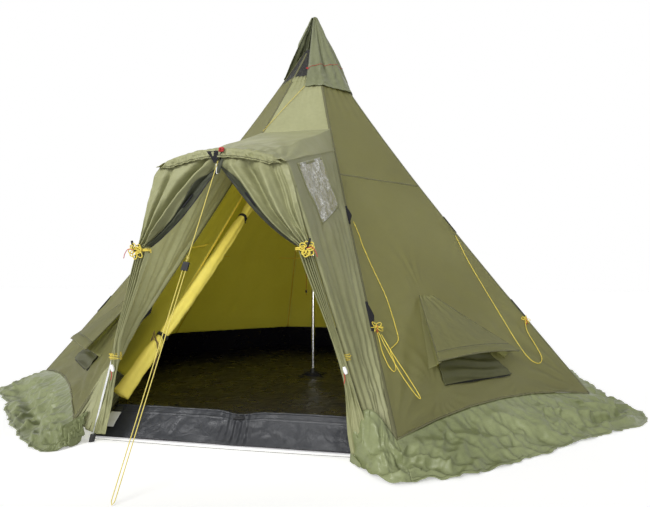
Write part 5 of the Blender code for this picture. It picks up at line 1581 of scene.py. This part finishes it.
def inner_window():
    """Oval netting with a bound edge, behind the inner tent's wall."""
    side, u, z, wide, tall = INNER_WINDOW
    a, b = inner_point(side, z), inner_point(side + 1, z)
    outward = side_direction(side)
    middle = a.lerp(b, u)
    slope = (inner_point(side, z + 0.1).lerp(inner_point(side + 1, z + 0.1), u) - middle).normalized()
    level = (b - a).normalized()
    spokes = [level * (wide * math.cos(angle)) + slope * (tall * math.sin(angle)) for angle in circle(48)]
    rim = [[middle + spoke * s - outward * (0.036 + lift) for spoke in spokes]
           for s, lift in ((0.96, 0), (0.98, 0.0015), (1.06, 0.0015), (1.08, 0))]
    cloth("inner_window_binding", rim, "yellow_seam", wrap=True, thick=0.001)
    net = [[middle + spoke * s - outward * 0.035 for spoke in spokes] for s in span(0.02, 0.98, 9)]
    cloth("inner_window_net", net, "net", wrap=True, thick=0.0006)


def tray_floor():
    """The tub's floor: crushed, shiny sheet on the ground."""
    spokes, circles = 192, 64
    grid = []
    for s in span(0.0008, 1, circles):
        row = []
        for n in range(spokes):
            place = n * SIDES / spokes
            corner = int(place)
            rim = inner_point(corner, 0.0).lerp(inner_point(corner + 1, 0.0), place - corner)
            point = rim * s
            crush = 0.006 * crumple(point, 3.2, 101) + 0.0028 * crumple(point, 9.0, 102)
            crush += 0.001 * crease(point, 30.0, 103)
            lift = max(0.0, crush) * smooth(0.02, 0.12, s) * smooth(1.0, 0.97, s)
            point.z = TRAY_CLOTH + 0.003 + lift
            row.append(point)
        grid.append(row)
    cloth("inner_floor", grid, "floor", "laid", replaces=["bathtub_floor"], wrap=True, thick=0.001)


def tray_walls():
    """The tub's low walls, round every side but the front."""
    walls = []
    for z in span(0.001, TRAY_HEIGHT + 0.003, 20):
        row = []
        for side in range(FRONT):
            a, b = inner_point(side, z), inner_point(side + 1, z)
            for t in span(0, 1, 41)[:-1]:
                here = a.lerp(b, t)
                out = 0.006 * crumple(here, 4.5, 104) + 0.0025 * crumple(here, 13.0, 105)
                out = max(-0.003, out) * smooth(0.0, 0.05, z) * sewn(t, 8)
                row.append(here - side_direction(side) * out)
        row.append(inner_point(FRONT, z))
        walls.append(row)
    cloth("tray_walls", walls, "floor", "hung", thick=0.0012, rests_on=["inner_floor"])


def threshold_point(u, z, inward):
    """The low front wall of the tray, drawn together at its middle."""
    pull = hump(u, 0.5, 0.06)
    dip = 0.012 * pull * (z / THRESHOLD_HEIGHT)
    left = inner_point(FRONT, z, 0.008)
    right = inner_point(FRONT + 1, z, 0.008)
    point = left.lerp(right, u)
    here = Vector((u * 1.1, z, 4.0))
    gather = 0.006 * math.sin((u - 0.5) * 260) * hump(u, 0.5, 0.045)
    fold = 0.005 * crumple(here, 6.0, 111) + 0.0022 * crumple(here, 19.0, 112) + gather
    return point + Vector((0, inward - 0.003 + fold * smooth(0, 0.03, z) - 0.004 * pull, -dip))


def threshold():
    """The grey sill with its hem and stitching, the buckle that draws it together, and the plain tag."""
    shares = span(0, 1, 170)
    grid = [[threshold_point(u, z, 0) for u in shares] for z in span(0.003, THRESHOLD_HEIGHT, 24)]
    cloth("sill", grid, "grey", "hung", replaces=["door_threshold"], thick=0.0014, rests_on=["inner_floor"])
    top = [threshold_point(u, THRESHOLD_HEIGHT, 0) for u in shares]
    full = [0.0042 + 0.0012 * ripple((u * 70, 0, 0), 1.0, 113) for u in shares]
    tube("sill_hem", top, full, "grey", sides=10)
    stitch = [[threshold_point(u, z, -lift) for u in shares]
              for z, lift in ((0.086, 0.0004), (0.087, 0.0014), (0.094, 0.0014), (0.095, 0.0004))]
    cloth("sill_stitching", stitch, "grey", thick=0.0007)
    buckle = threshold_point(0.5, THRESHOLD_HEIGHT, -0.011) + Vector((0, 0, -0.012))
    loop = []
    for angle in span(0, 2 * math.pi, 33):
        turn = (0.016 * math.cos(angle), 0.002 * math.sin(2 * angle), 0.009 * math.sin(angle))
        loop.append(buckle + Vector(turn))
    bar = [buckle + Vector((0, 0, z)) for z in (-0.01, 0.0, 0.01)]
    tongue = [buckle + Vector((0.024 * (n - 1), -0.003, 0.002 * n)) for n in range(3)]
    parts = ((loop, 0.0032), (bar, 0.0026), (tongue, 0.0042))
    pieces = [grid_data("part", rings(route, radius), wrap=True, caps=True) for route, radius in parts]
    join("sill_buckle", pieces, "plastic")
    tag = []
    for s in span(0, 1, 14):
        centre = threshold_point(0.018 + 0.004 * s, 0.088 - 0.05 * s, -0.006 - 0.006 * math.sin(math.pi * s))
        tag.append([centre + Vector((x, -0.001 * math.cos(x * 90), 0)) for x in span(-0.023, 0.023, 14)])
    cloth("plain_tag", tag, "tag", thick=0.0009)


ROLL_TOP_INSET = 0.012
ROLL_TIES = (0.18, 0.66)


def roll_axis():
    """The rolled door's top, and its own directions: along it, to its side and to its front."""
    z = INNER_DOOR_TOP - 0.02
    reach = (ridge_radius(z) - inner_inset(z)) * math.cos(HALF_STEP) + ROLL_TOP_INSET
    top = Vector((-0.066, -reach, z))
    axis = (top - ROLL_FOOT).normalized()
    side = axis.cross(Vector((0, -1, 0))).normalized()
    return top, axis, side, side.cross(axis)


def roll_centre(top, v):
    """The middle of the roll, which sags a little: v from its foot to its top."""
    return ROLL_FOOT.lerp(top, v) - UP * 0.018 * math.sin(math.pi * v)


def door_roll():
    """The inner door, rolled up: its layers wind round each other, and ties pinch it in two places."""
    top, axis, side, front = roll_axis()
    turns, around, stations = 2.6, 150, 110
    grid = []
    for v in span(-0.012, 1.01, stations):
        pinch = 1 - 0.28 * sum(hump(v, tie, 0.035) for tie in ROLL_TIES)
        centre = roll_centre(top, v)
        row = []
        for share in span(0, 1, around):
            angle = 2 * math.pi * turns * share + 1.3
            lobe = 1 + 0.12 * math.cos(3 * angle + 4 * v) + 0.05 * math.cos(5 * angle - 7 * v)
            wind = 0.34 + 0.66 * share ** 0.7
            radius = ROLL_RADIUS * pinch * lobe * (1 - 0.25 * v) * wind
            here = centre + side * 0.01 * angle
            radius += 0.0028 * crumple(here + axis * v, 9.0, 121) * pinch
            offset = side * math.cos(angle) + front * math.sin(angle)
            drift = axis * (0.012 * (share - 0.5) * math.sin(7 * share))
            row.append(centre + offset * radius + drift)
        grid.append(row)
    cloth("rolled_inner_door", grid, "roll", "folded", replaces=["inner_door_roll"], thick=0.0008,
          rests_on=["inner_walls"])


def roll_ties():
    """Webbing round the roll, each with an end that hangs down, and the cord of the toggle."""
    top, axis, side, front = roll_axis()
    for number, v in enumerate(ROLL_TIES):
        centre = roll_centre(top, v)
        radius = ROLL_RADIUS * 0.74 * (1 - 0.25 * v)
        band = []
        for off, wide in ((-0.008, 1.02), (-0.007, 1.05), (0.007, 1.05), (0.008, 1.02)):
            row = []
            for angle in circle(40):
                lobe = wide + 0.1 * math.cos(3 * angle + 4 * v)
                spoke = side * math.cos(angle) + front * math.sin(angle)
                row.append(centre + spoke * radius * lobe + axis * off)
            band.append(row)
        cloth(f"roll_tie_{number}", band, "webbing", wrap=True, thick=0.0014)
        knot = centre + front * (radius + 0.006)
        ends = [knot, knot + side * 0.014 + front * 0.006 - UP * 0.006, knot + side * 0.02 - UP * 0.045]
        tube(f"roll_tie_end_{number}", smooth_route(ends, 0.004), 0.0028, "webbing")
    loops = []
    start = ROLL_FOOT.lerp(top, 0.16) + front * 0.03 - side * 0.012
    for n in range(5):
        drop = 0.075 + 0.028 * n
        spread = 0.03 - 0.004 * n
        half_down = start - UP * drop * 0.5
        loops += [start + UP * 0.006 * n, half_down + side * spread + front * 0.008]
        loops += [start + side * 0.006 - UP * drop + front * 0.014, half_down - side * spread * 0.6]
    cord("roll_toggle_cord", smooth_route(loops, 0.006), THIN_RADIUS, "brown_cord")


def pole_straps():
    """Crossed straps and a patch that hold the pole's cup in its place on the floor."""
    top = TRAY_CLOTH + 0.012
    for n in range(4):
        angle = math.pi / 4 + n * math.pi / 2
        way = Vector((math.cos(angle), math.sin(angle), 0))
        path = []
        for s in span(0, 1, 20):
            rise = 0.018 * (1 - s) ** 2 + 0.0035
            path.append(way * (0.026 + 0.11 * s) + UP * (top * (1 - s) * 0.6 + rise))
        across = UP.cross(way) * 0.0125
        strip(f"pole_strap_{n}", path, across, [UP] * len(path), "webbing", thick=0.0016)
    patch = [[Vector((r * math.cos(a), r * math.sin(a), z)) for a in circle(48)]
             for r, z in ((0.03, 0.022), (0.036, 0.02), (0.05, 0.009), (0.056, 0.0075))]
    cloth("pole_patch", patch, "webbing", wrap=True, thick=0.0012)


# Side vents


def vent_frame(side, mirror):
    """The flap's hinge line, and its own directions along the hinge, down the flap and off it."""
    head = [on_side(side, across, FLAP_TOP, FLAP_STANDOFF, mirror) for across in FLAP_HEAD]
    axis = (head[1] - head[0]).normalized()
    down = on_side(side, 0, FLAP_TOP - 0.1) - on_side(side, 0, FLAP_TOP)
    down = (down - axis * down.dot(axis)).normalized()
    out = axis.cross(down)
    if out.dot(side_normal(side, VENT_MIDDLE)) < 0:
        out = -out
    angle = math.radians(FLAP_OPEN)
    slope = down * math.cos(angle) + out * math.sin(angle)
    rise = out * math.cos(angle) - down * math.sin(angle)
    return head, axis, slope, rise


def flap_point(frame_of, u, v, out=0.0):
    """A point on the stiff flap: u across it, v from its head to its foot."""
    head, axis, slope, rise = frame_of
    head_x = FLAP_HEAD[0] + (FLAP_HEAD[1] - FLAP_HEAD[0]) * u
    foot_x = FLAP_FOOT[0] + (FLAP_FOOT[1] - FLAP_FOOT[0]) * u
    across = head_x + (foot_x - head_x) * v - sum(FLAP_HEAD) / 2
    bow = FLAP_EDGE_BOW * math.sin(math.pi * u) * v
    return (head[0] + head[1]) / 2 + axis * across + slope * (FLAP_LENGTH * v) + rise * (bow + out)


def flap_cloth_point(frame_of, mirror, u, v, lift=0.0):
    """The same on its wrinkled cloth."""
    here = Vector((u * 0.4, v * 0.4, mirror * 6.0))
    pulled = 0.003 * math.sin(u * 24 + 3 * ripple(here, 6.0, 131)) * (1 - v)
    out = pulled + 0.005 * ripple(here, 5.0, 132) * v + 0.002 * crumple(here, 16.0, 133)
    return flap_point(frame_of, u, v, out + lift)


def vent_hood(frame_of, mirror, place, body):
    """The stiff flap over the vent, with its hem, stitching and bound edges."""
    def rows(inset, columns, profile):
        shares = span(inset, 1 - inset, columns)
        return [[flap_cloth_point(frame_of, mirror, u, v, lift) for u in shares] for v, lift in profile]

    grid = rows(0, 90, [(v, 0.0) for v in span(0, 1, 76)])
    cloth("vent_hood_" + place, grid, "olive", "stretched", body=body, replaces=["vent_flap_" + place],
          thick=0.002, rests_on=["vent_hood_hem_" + place])
    hem = rows(0.004, 90, ((0.895, 0.0004), (0.9, 0.0022), (0.95, 0.0026), (0.995, 0.0022), (1.004, 0.0002)))
    cloth("vent_hood_hem_" + place, hem, "olive", body=body, thick=0.001)
    stitches = rows(0.01, 90, ((0.878, 0.0004), (0.881, 0.0016), (0.889, 0.0016), (0.892, 0.0004)))
    cloth("vent_hood_stitching_" + place, stitches, "seam", body=body, thick=0.0006)
    foot = [flap_point(frame_of, u, 1.0) for u in span(0, 1, 60)]
    tube("vent_hood_bone_" + place, foot, 0.0036, "seam", body=body, sides=10)
    for u, end in ((0.0, "front"), (1.0, "rear")):
        edge = [flap_point(frame_of, u, v) for v in span(0, 1, 40)]
        tube(f"vent_edge_{end}_{place}", edge, 0.0028, "seam", body=body)


def vent_gussets(frame_of, side, place):
    """Cloth that fills the gap between each edge of the flap and the side, with a tuck and pleats."""
    normal = side_normal(side, VENT_MIDDLE)
    for u, end in ((0.012, "front"), (0.988, "rear")):
        grid = []
        for v in span(0.05, 0.985, 64):
            outer = flap_point(frame_of, u, v, -0.0026)
            across = outer.dot(UP.cross(side_direction(side)))
            wall = on_cloth(side, across, outer.z)
            gap = (outer - wall).dot(normal)
            inner = outer - normal * (gap - 0.002)
            inward = (flap_point(frame_of, 0.5, v) - outer).normalized()
            row = []
            for s in span(0, 1, 22):
                arch = math.sin(math.pi * s)
                tuck = 0.03 * arch * smooth(0.0, 0.5, v)
                pleat = 0.006 * math.sin(s * math.pi * 5 + 2 * v) * arch * smooth(0.1, 0.6, v)
                row.append(outer.lerp(inner, s) + inward * (tuck + pleat))
            grid.append(row)
        obj = cloth(f"vent_gusset_cloth_{end}_{place}", grid, "olive", body=None,
                    replaces=[f"vent_gusset_{place}_{end}"], thick=0.0012)
        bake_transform(obj)


def vent_folds_painted_shade(side, mirror, place):
    """Cloth inside the vent's opening, drawn up from its sill in folds, and painted a darker olive: painted
    shade, as under the flap.
    """
    olive_painted_shade = []
    for z in span(VENT_SILL + 0.002, VENT_SILL + 0.15, 60):
        left, right = vent_edges(z, mirror)
        row = []
        for u in span(left - 0.004, right + 0.004, 60):
            share = (u - left) / (right - left)
            arch = 0.5 + 0.5 * math.sin(math.pi * min(1.0, max(0.0, share)))
            fold = 0.007 * math.sin(z * 160 + 5 * ripple((share * 1.5, z * 4, mirror), 1.0, 134)) * arch
            out = 0.003 + fold * arch + 0.01 * arch * smooth(0.4, 0.2, z)
            row.append(side_point(side, u, z) + side_normal(side, z) * out)
        olive_painted_shade.append(row)
    cloth("vent_lining_" + place, olive_painted_shade, "olive_painted_shade", thick=0.001)


def vent(side, mirror, place):
    """One side vent, but for its netting."""
    frame_of = vent_frame(side, mirror)
    body = place + "_vent"
    vent_hood(frame_of, mirror, place, body)
    vent_gussets(frame_of, side, place)
    vent_folds_painted_shade(side, mirror, place)


# Webbing, knots and other small things


def bridle():
    """A triangle of webbing on the crossbar, with the upper guy line's red knot."""
    crown = arch_point(0, forward=EAVE + 0.0008)
    grid = []
    for s in span(0, 1, 26):
        half = 0.03 * (1 - s) ** 1.3 + 0.0045
        row = []
        for t in span(-1, 1, 22):
            here = Vector((t * half, 0, s * 0.05))
            lift = 0.0042 + 0.0016 * math.sin(t * 7 + s * 5) * (1 - s) + 0.001 * crumple(here, 20.0, 141)
            row.append(crown + Vector((t * half - 0.012, -lift, -0.006 - s * 0.044)))
        grid.append(row)
    cloth("bridle_webbing", grid, "webbing", replaces=["guy_bridle"], thick=0.0018)
    knot = crown + Vector((0.016, -0.012, -0.004))
    turns = []
    for n in range(26):
        turn = (0.009 * math.cos(n * 1.17), -0.004 * math.sin(n * 0.8), 0.007 * math.sin(n * 1.55))
        turns.append(knot + Vector(turn))
    tube("bridle_knot", smooth_route(turns, 0.003), THIN_RADIUS * 1.3, "red_cord")


def zip_flap():
    """The storm flap at the top of the door zip, under the bridle, and the white pull on its slider."""
    y = leg_top(1).y - 0.048
    top, foot = Vector((0.02, y, 1.082)), Vector((0.004, y, 1.03))
    grid = []
    for s in span(0, 1, 26):
        half = 0.005 + 0.003 * math.sin(math.pi * s)
        centre = top.lerp(foot, s) + Vector((0, -0.006 * math.sin(math.pi * s), 0))
        grid.append([centre + Vector((t * half, 0.003 * t * t, 0)) for t in span(-1, 1, 12)])
    cloth("zip_storm_flap", grid, "facing", thick=0.0012)
    pull = []
    start = ZIP_PULL_TOP + Vector((0, -0.0015, -0.002))
    for s in span(0, 1, 30):
        half = 0.0026 + 0.002 * smooth(0.1, 0.35, s) - 0.0012 * smooth(0.8, 1, s)
        centre = start - UP * (0.027 * s)
        pull.append([centre + Vector((half * math.cos(a), 0.0016 * math.sin(a), 0)) for a in circle(16)])
    data = grid_data("zip_pull_tab", pull, wrap=True, caps=True)
    place_piece("zip_pull_tab", data, "white_plastic", body="pull", replaces=["zip_pull"])
    hasp = []
    for a in span(-2.6, 2.6, 22):
        hasp.append(ZIP_PULL_TOP + Vector((0.005 * math.sin(a), -0.001, 0.004 + 0.006 * math.cos(a))))
    tube("zip_slider_hasp", hasp, 0.0013, "metal")


# Ridge, height of the tab's middle, and half its length
TABS = [(RIGHT_RIDGE, TAB_HEIGHTS[0], 0.042), (RIGHT_RIDGE, TAB_HEIGHTS[1], 0.05)]
TABS += [(1, TAB_HEIGHTS[0], 0.042), (1, TAB_HEIGHTS[1], 0.042), (LEFT_RIDGE, TAB_HEIGHTS[1], 0.045)]
TABS += [(corner, height, 0.042) for corner in range(2, 7) for height in TAB_HEIGHTS]


def ridge_tabs():
    """Webbing triangles sewn on the ridges, that the guy lines are made fast to."""
    for number, (corner, height, half) in enumerate(TABS):
        out = (corner_direction(corner) + UP * 0.45).normalized()
        grid = []
        for s in span(-1, 1, 26):
            base = side_point(corner, 0.0, height - s * half)
            reach = 0.004 + 0.02 * (1 - abs(s) ** 1.2)
            row = []
            for t in span(0, 1, 9):
                flat = UP.cross(side_direction(corner)) * (reach * t * 1.05)
                row.append(base + flat + out * (0.0042 + 0.001 * math.sin(3 * s + 4 * t)))
            grid.append(row)
        cloth(f"ridge_tab_{number}", grid, "webbing", thick=0.0018)
        path = [ridge_point(corner, height - s * half) + out * 0.0045 for s in span(-1.15, 1.15, 20)]
        across = UP.cross(corner_direction(corner)) * 0.006
        strip(f"ridge_tab_band_{number}", path, across, [out] * len(path), "webbing", 0.001, thick=0.0016)


def guy_knots():
    """Hanks and knots where the stored guy lines are tied up to the lower tabs."""
    front_way, left_way = side_normal(FRONT_RIGHT, 0.45), corner_direction(LEFT_RIDGE)
    spots = (
        ("front", on_cloth(FRONT_RIGHT, -0.507, 0.447, 0.012), 0.036, front_way),
        ("rear", on_cloth(FRONT_RIGHT, 0.492, 0.435, 0.012), 0.03, front_way),
        ("left", ridge_point(LEFT_RIDGE, 0.40) + left_way * 0.012, 0.028, left_way),
    )
    for number, (label, centre, size, out) in enumerate(spots):
        route = bunch(centre, size, 7, number + 5, out)
        cord("guy_hank_" + label, route, GUY_RADIUS, "yellow_cord")
        knot = centre - UP * 0.012 + out * 0.008
        turns = []
        for n in range(14):
            turn = out.cross(UP) * 0.005 * math.sin(n * 1.7) + out * 0.004 * math.cos(n * 1.7)
            turns.append(knot + UP * (0.012 - 0.0022 * n) + turn)
        tube("guy_red_knot_" + label, smooth_route(turns, 0.003), THIN_RADIUS * 1.1, "red_cord")
    away = side_normal(FRONT_RIGHT, 0.4) * 0.002
    loop = [(-0.505, 0.43), (-0.50, 0.36), (-0.485, 0.27), (-0.462, 0.205), (-0.448, 0.19)]
    loop += [(-0.446, 0.205), (-0.46, 0.27), (-0.482, 0.35), (-0.495, 0.42)]
    points = [on_cloth(FRONT_RIGHT, across, z, 0.006) + away for across, z in loop]
    cord("guy_spare_loop", smooth_route(points, 0.01), GUY_RADIUS, "yellow_cord")


def leg_ties():
    """Cords and toggles that hold the curtains' lower edges to the porch legs."""
    for (mirror, label), height in zip(HALVES, (0.345, 0.37)):
        centre = leg_point(mirror, height) + Vector((-mirror * 0.012, -0.022, 0))
        turns = []
        for n in range(44):
            angle = n * 0.62
            wide = 0.022 + 0.003 * math.sin(n * 0.9)
            turn = (wide * math.cos(angle), 0.02 + 0.021 * math.sin(angle), 0.0006 * n - 0.012)
            turns.append(centre + Vector(turn))
        route = smooth_route(turns, 0.004)
        cord("leg_tie_" + label, route, THIN_RADIUS * 1.2, "yellow_cord")
        knob = centre + Vector((0.004, -0.012, -0.028))
        barrel = [knob + Vector((0.001 * n, 0, -0.0028 * n)) for n in range(10)]
        swell = [0.0052 + 0.0022 * math.sin(math.pi * s) for s in span(0, 1, 10)]
        tube("leg_tie_toggle_" + label, barrel, swell, "white_plastic", sides=12)
        ends = ((0, 0, -0.024), (0.004, -0.002, -0.04), (0.001, -0.003, -0.058))
        ends = [knob + Vector(off) for off in ends]
        tube("leg_tie_end_" + label, smooth_route(ends, 0.004), THIN_RADIUS * 1.1, "red_cord")


# Ground and light


GROUND_LIFT = 0.35
AMBIENT = 0.36
KEY_STRENGTH = 2.0
KEY_FROM = (-0.3, -0.82, 0.48)
KEY_SPREAD = math.radians(25)
FILL_STRENGTH = 1.5
FILL_FROM = (0.12, -0.98, 0.16)
FILL_SPREAD = math.radians(40)
INSIDE_POWER = 4.0
INSIDE_SIZE = 0.4
INSIDE_FROM = (0.1, -1.5, 0.85)
INSIDE_TO = (-0.25, -0.4, 0.3)
GROUND_HALF = 30.0


def ground():
    """White ground that shows only the tent's shadow to the camera."""
    look = Look("ground", Base_Color=(0.9, 0.9, 0.9), Roughness=0.9, Specular_IOR_Level=0.0)
    glow = look.add("Emission", Color=(1, 1, 1), Strength=GROUND_LIFT)
    dark = look.add("Emission", Strength=0.0)
    lift = look.choose(("Is Camera Ray", "Is Glossy Ray"), dark, glow)
    both = look.add("AddShader", _0=look.shader.outputs[0], _1=lift)
    look.put(look.tree.nodes["Material Output"], Surface=both.outputs[0])
    data = bpy.data.meshes.new("ground")
    corners = [(x * GROUND_HALF, y * GROUND_HALF, 0) for x, y in ((-1, -1), (1, -1), (1, 1), (-1, 1))]
    data.from_pydata(corners, [], [(0, 1, 2, 3)])
    data.materials.append(look.material)
    obj = bpy.data.objects.new("ground", data)
    obj.location.z = -0.001
    bpy.context.scene.collection.objects.link(obj)


def lamp(name, kind, power, place, aim=(0, 0, 0), **settings):
    """A lamp that shines from one place towards another."""
    data = bpy.data.lights.new(name, kind)
    data.energy = power
    for key, value in settings.items():
        setattr(data, key, value)
    obj = bpy.data.objects.new(name, data)
    obj.location = place
    obj.rotation_euler = (Vector(place) - Vector(aim)).to_track_quat("Z", "Y").to_euler()
    bpy.context.scene.collection.objects.link(obj)
    return obj


def light():
    """Even light all round, two broad suns, and a small lamp under the porch for what lies inside."""
    world = bpy.data.worlds.new("surroundings")
    bpy.context.scene.world = world
    world.use_nodes = True
    nodes = Nodes(world.node_tree)
    plain = nodes.tree.nodes["Background"]
    nodes.put(plain, Color=(1, 1, 1), Strength=AMBIENT)
    white = nodes.add("Background", Color=(1, 1, 1), Strength=1.0)
    seen = ("Is Camera Ray", "Is Glossy Ray", "Is Transmission Ray")
    nodes.put(nodes.tree.nodes["World Output"], Surface=nodes.choose(seen, plain, white))
    lamp("key", "SUN", KEY_STRENGTH, KEY_FROM, angle=KEY_SPREAD)
    lamp("fill", "SUN", FILL_STRENGTH, FILL_FROM, angle=FILL_SPREAD)
    inside = lamp("inside", "AREA", INSIDE_POWER, INSIDE_FROM, INSIDE_TO, size=INSIDE_SIZE)
    inside.visible_camera = False
    bpy.context.scene.view_settings.view_transform = "Standard"


KEPT_NODES = {
    "metal": ("centre_pole_upper", "centre_pole_lower", "porch_leg_left", "porch_leg_right",
              "porch_arch_bar"),
    "rubber": ("pole_foot_cup", "pole_top_cap", "peak_plate", "leg_pocket_left", "leg_pocket_right"),
    "plastic": ("guy_slider", "cord_toggle"),
}


def kept_nodes():
    """CAD nodes that are shown as they are, in better materials."""
    for look, names in KEPT_NODES.items():
        for name in names:
            for slot in bpy.data.objects[name].material_slots:
                slot.material = LOOKS[look]


front_guy()
stored_guys()
hood_cords()
pull_cord()
ground_cord()
panels()
front_cloth()
peak_net()
ridge_seams()
cross_seams()
skirts()
aprons()
peak_hood()
porch_roof()
porch_sides()
porch_window()
sleeves()
curtains()
ties()
inner_tent()
inner_window()
tray_floor()
tray_walls()
threshold()
door_roll()
roll_ties()
pole_straps()
vent(FRONT_RIGHT, 1, "right")
vent(FRONT_LEFT, -1, "left")
bridle()
zip_flap()
ridge_tabs()
guy_knots()
leg_ties()
kept_nodes()
ground()
light()

print("cords", CORDS)
print("sheets", SHEETS)
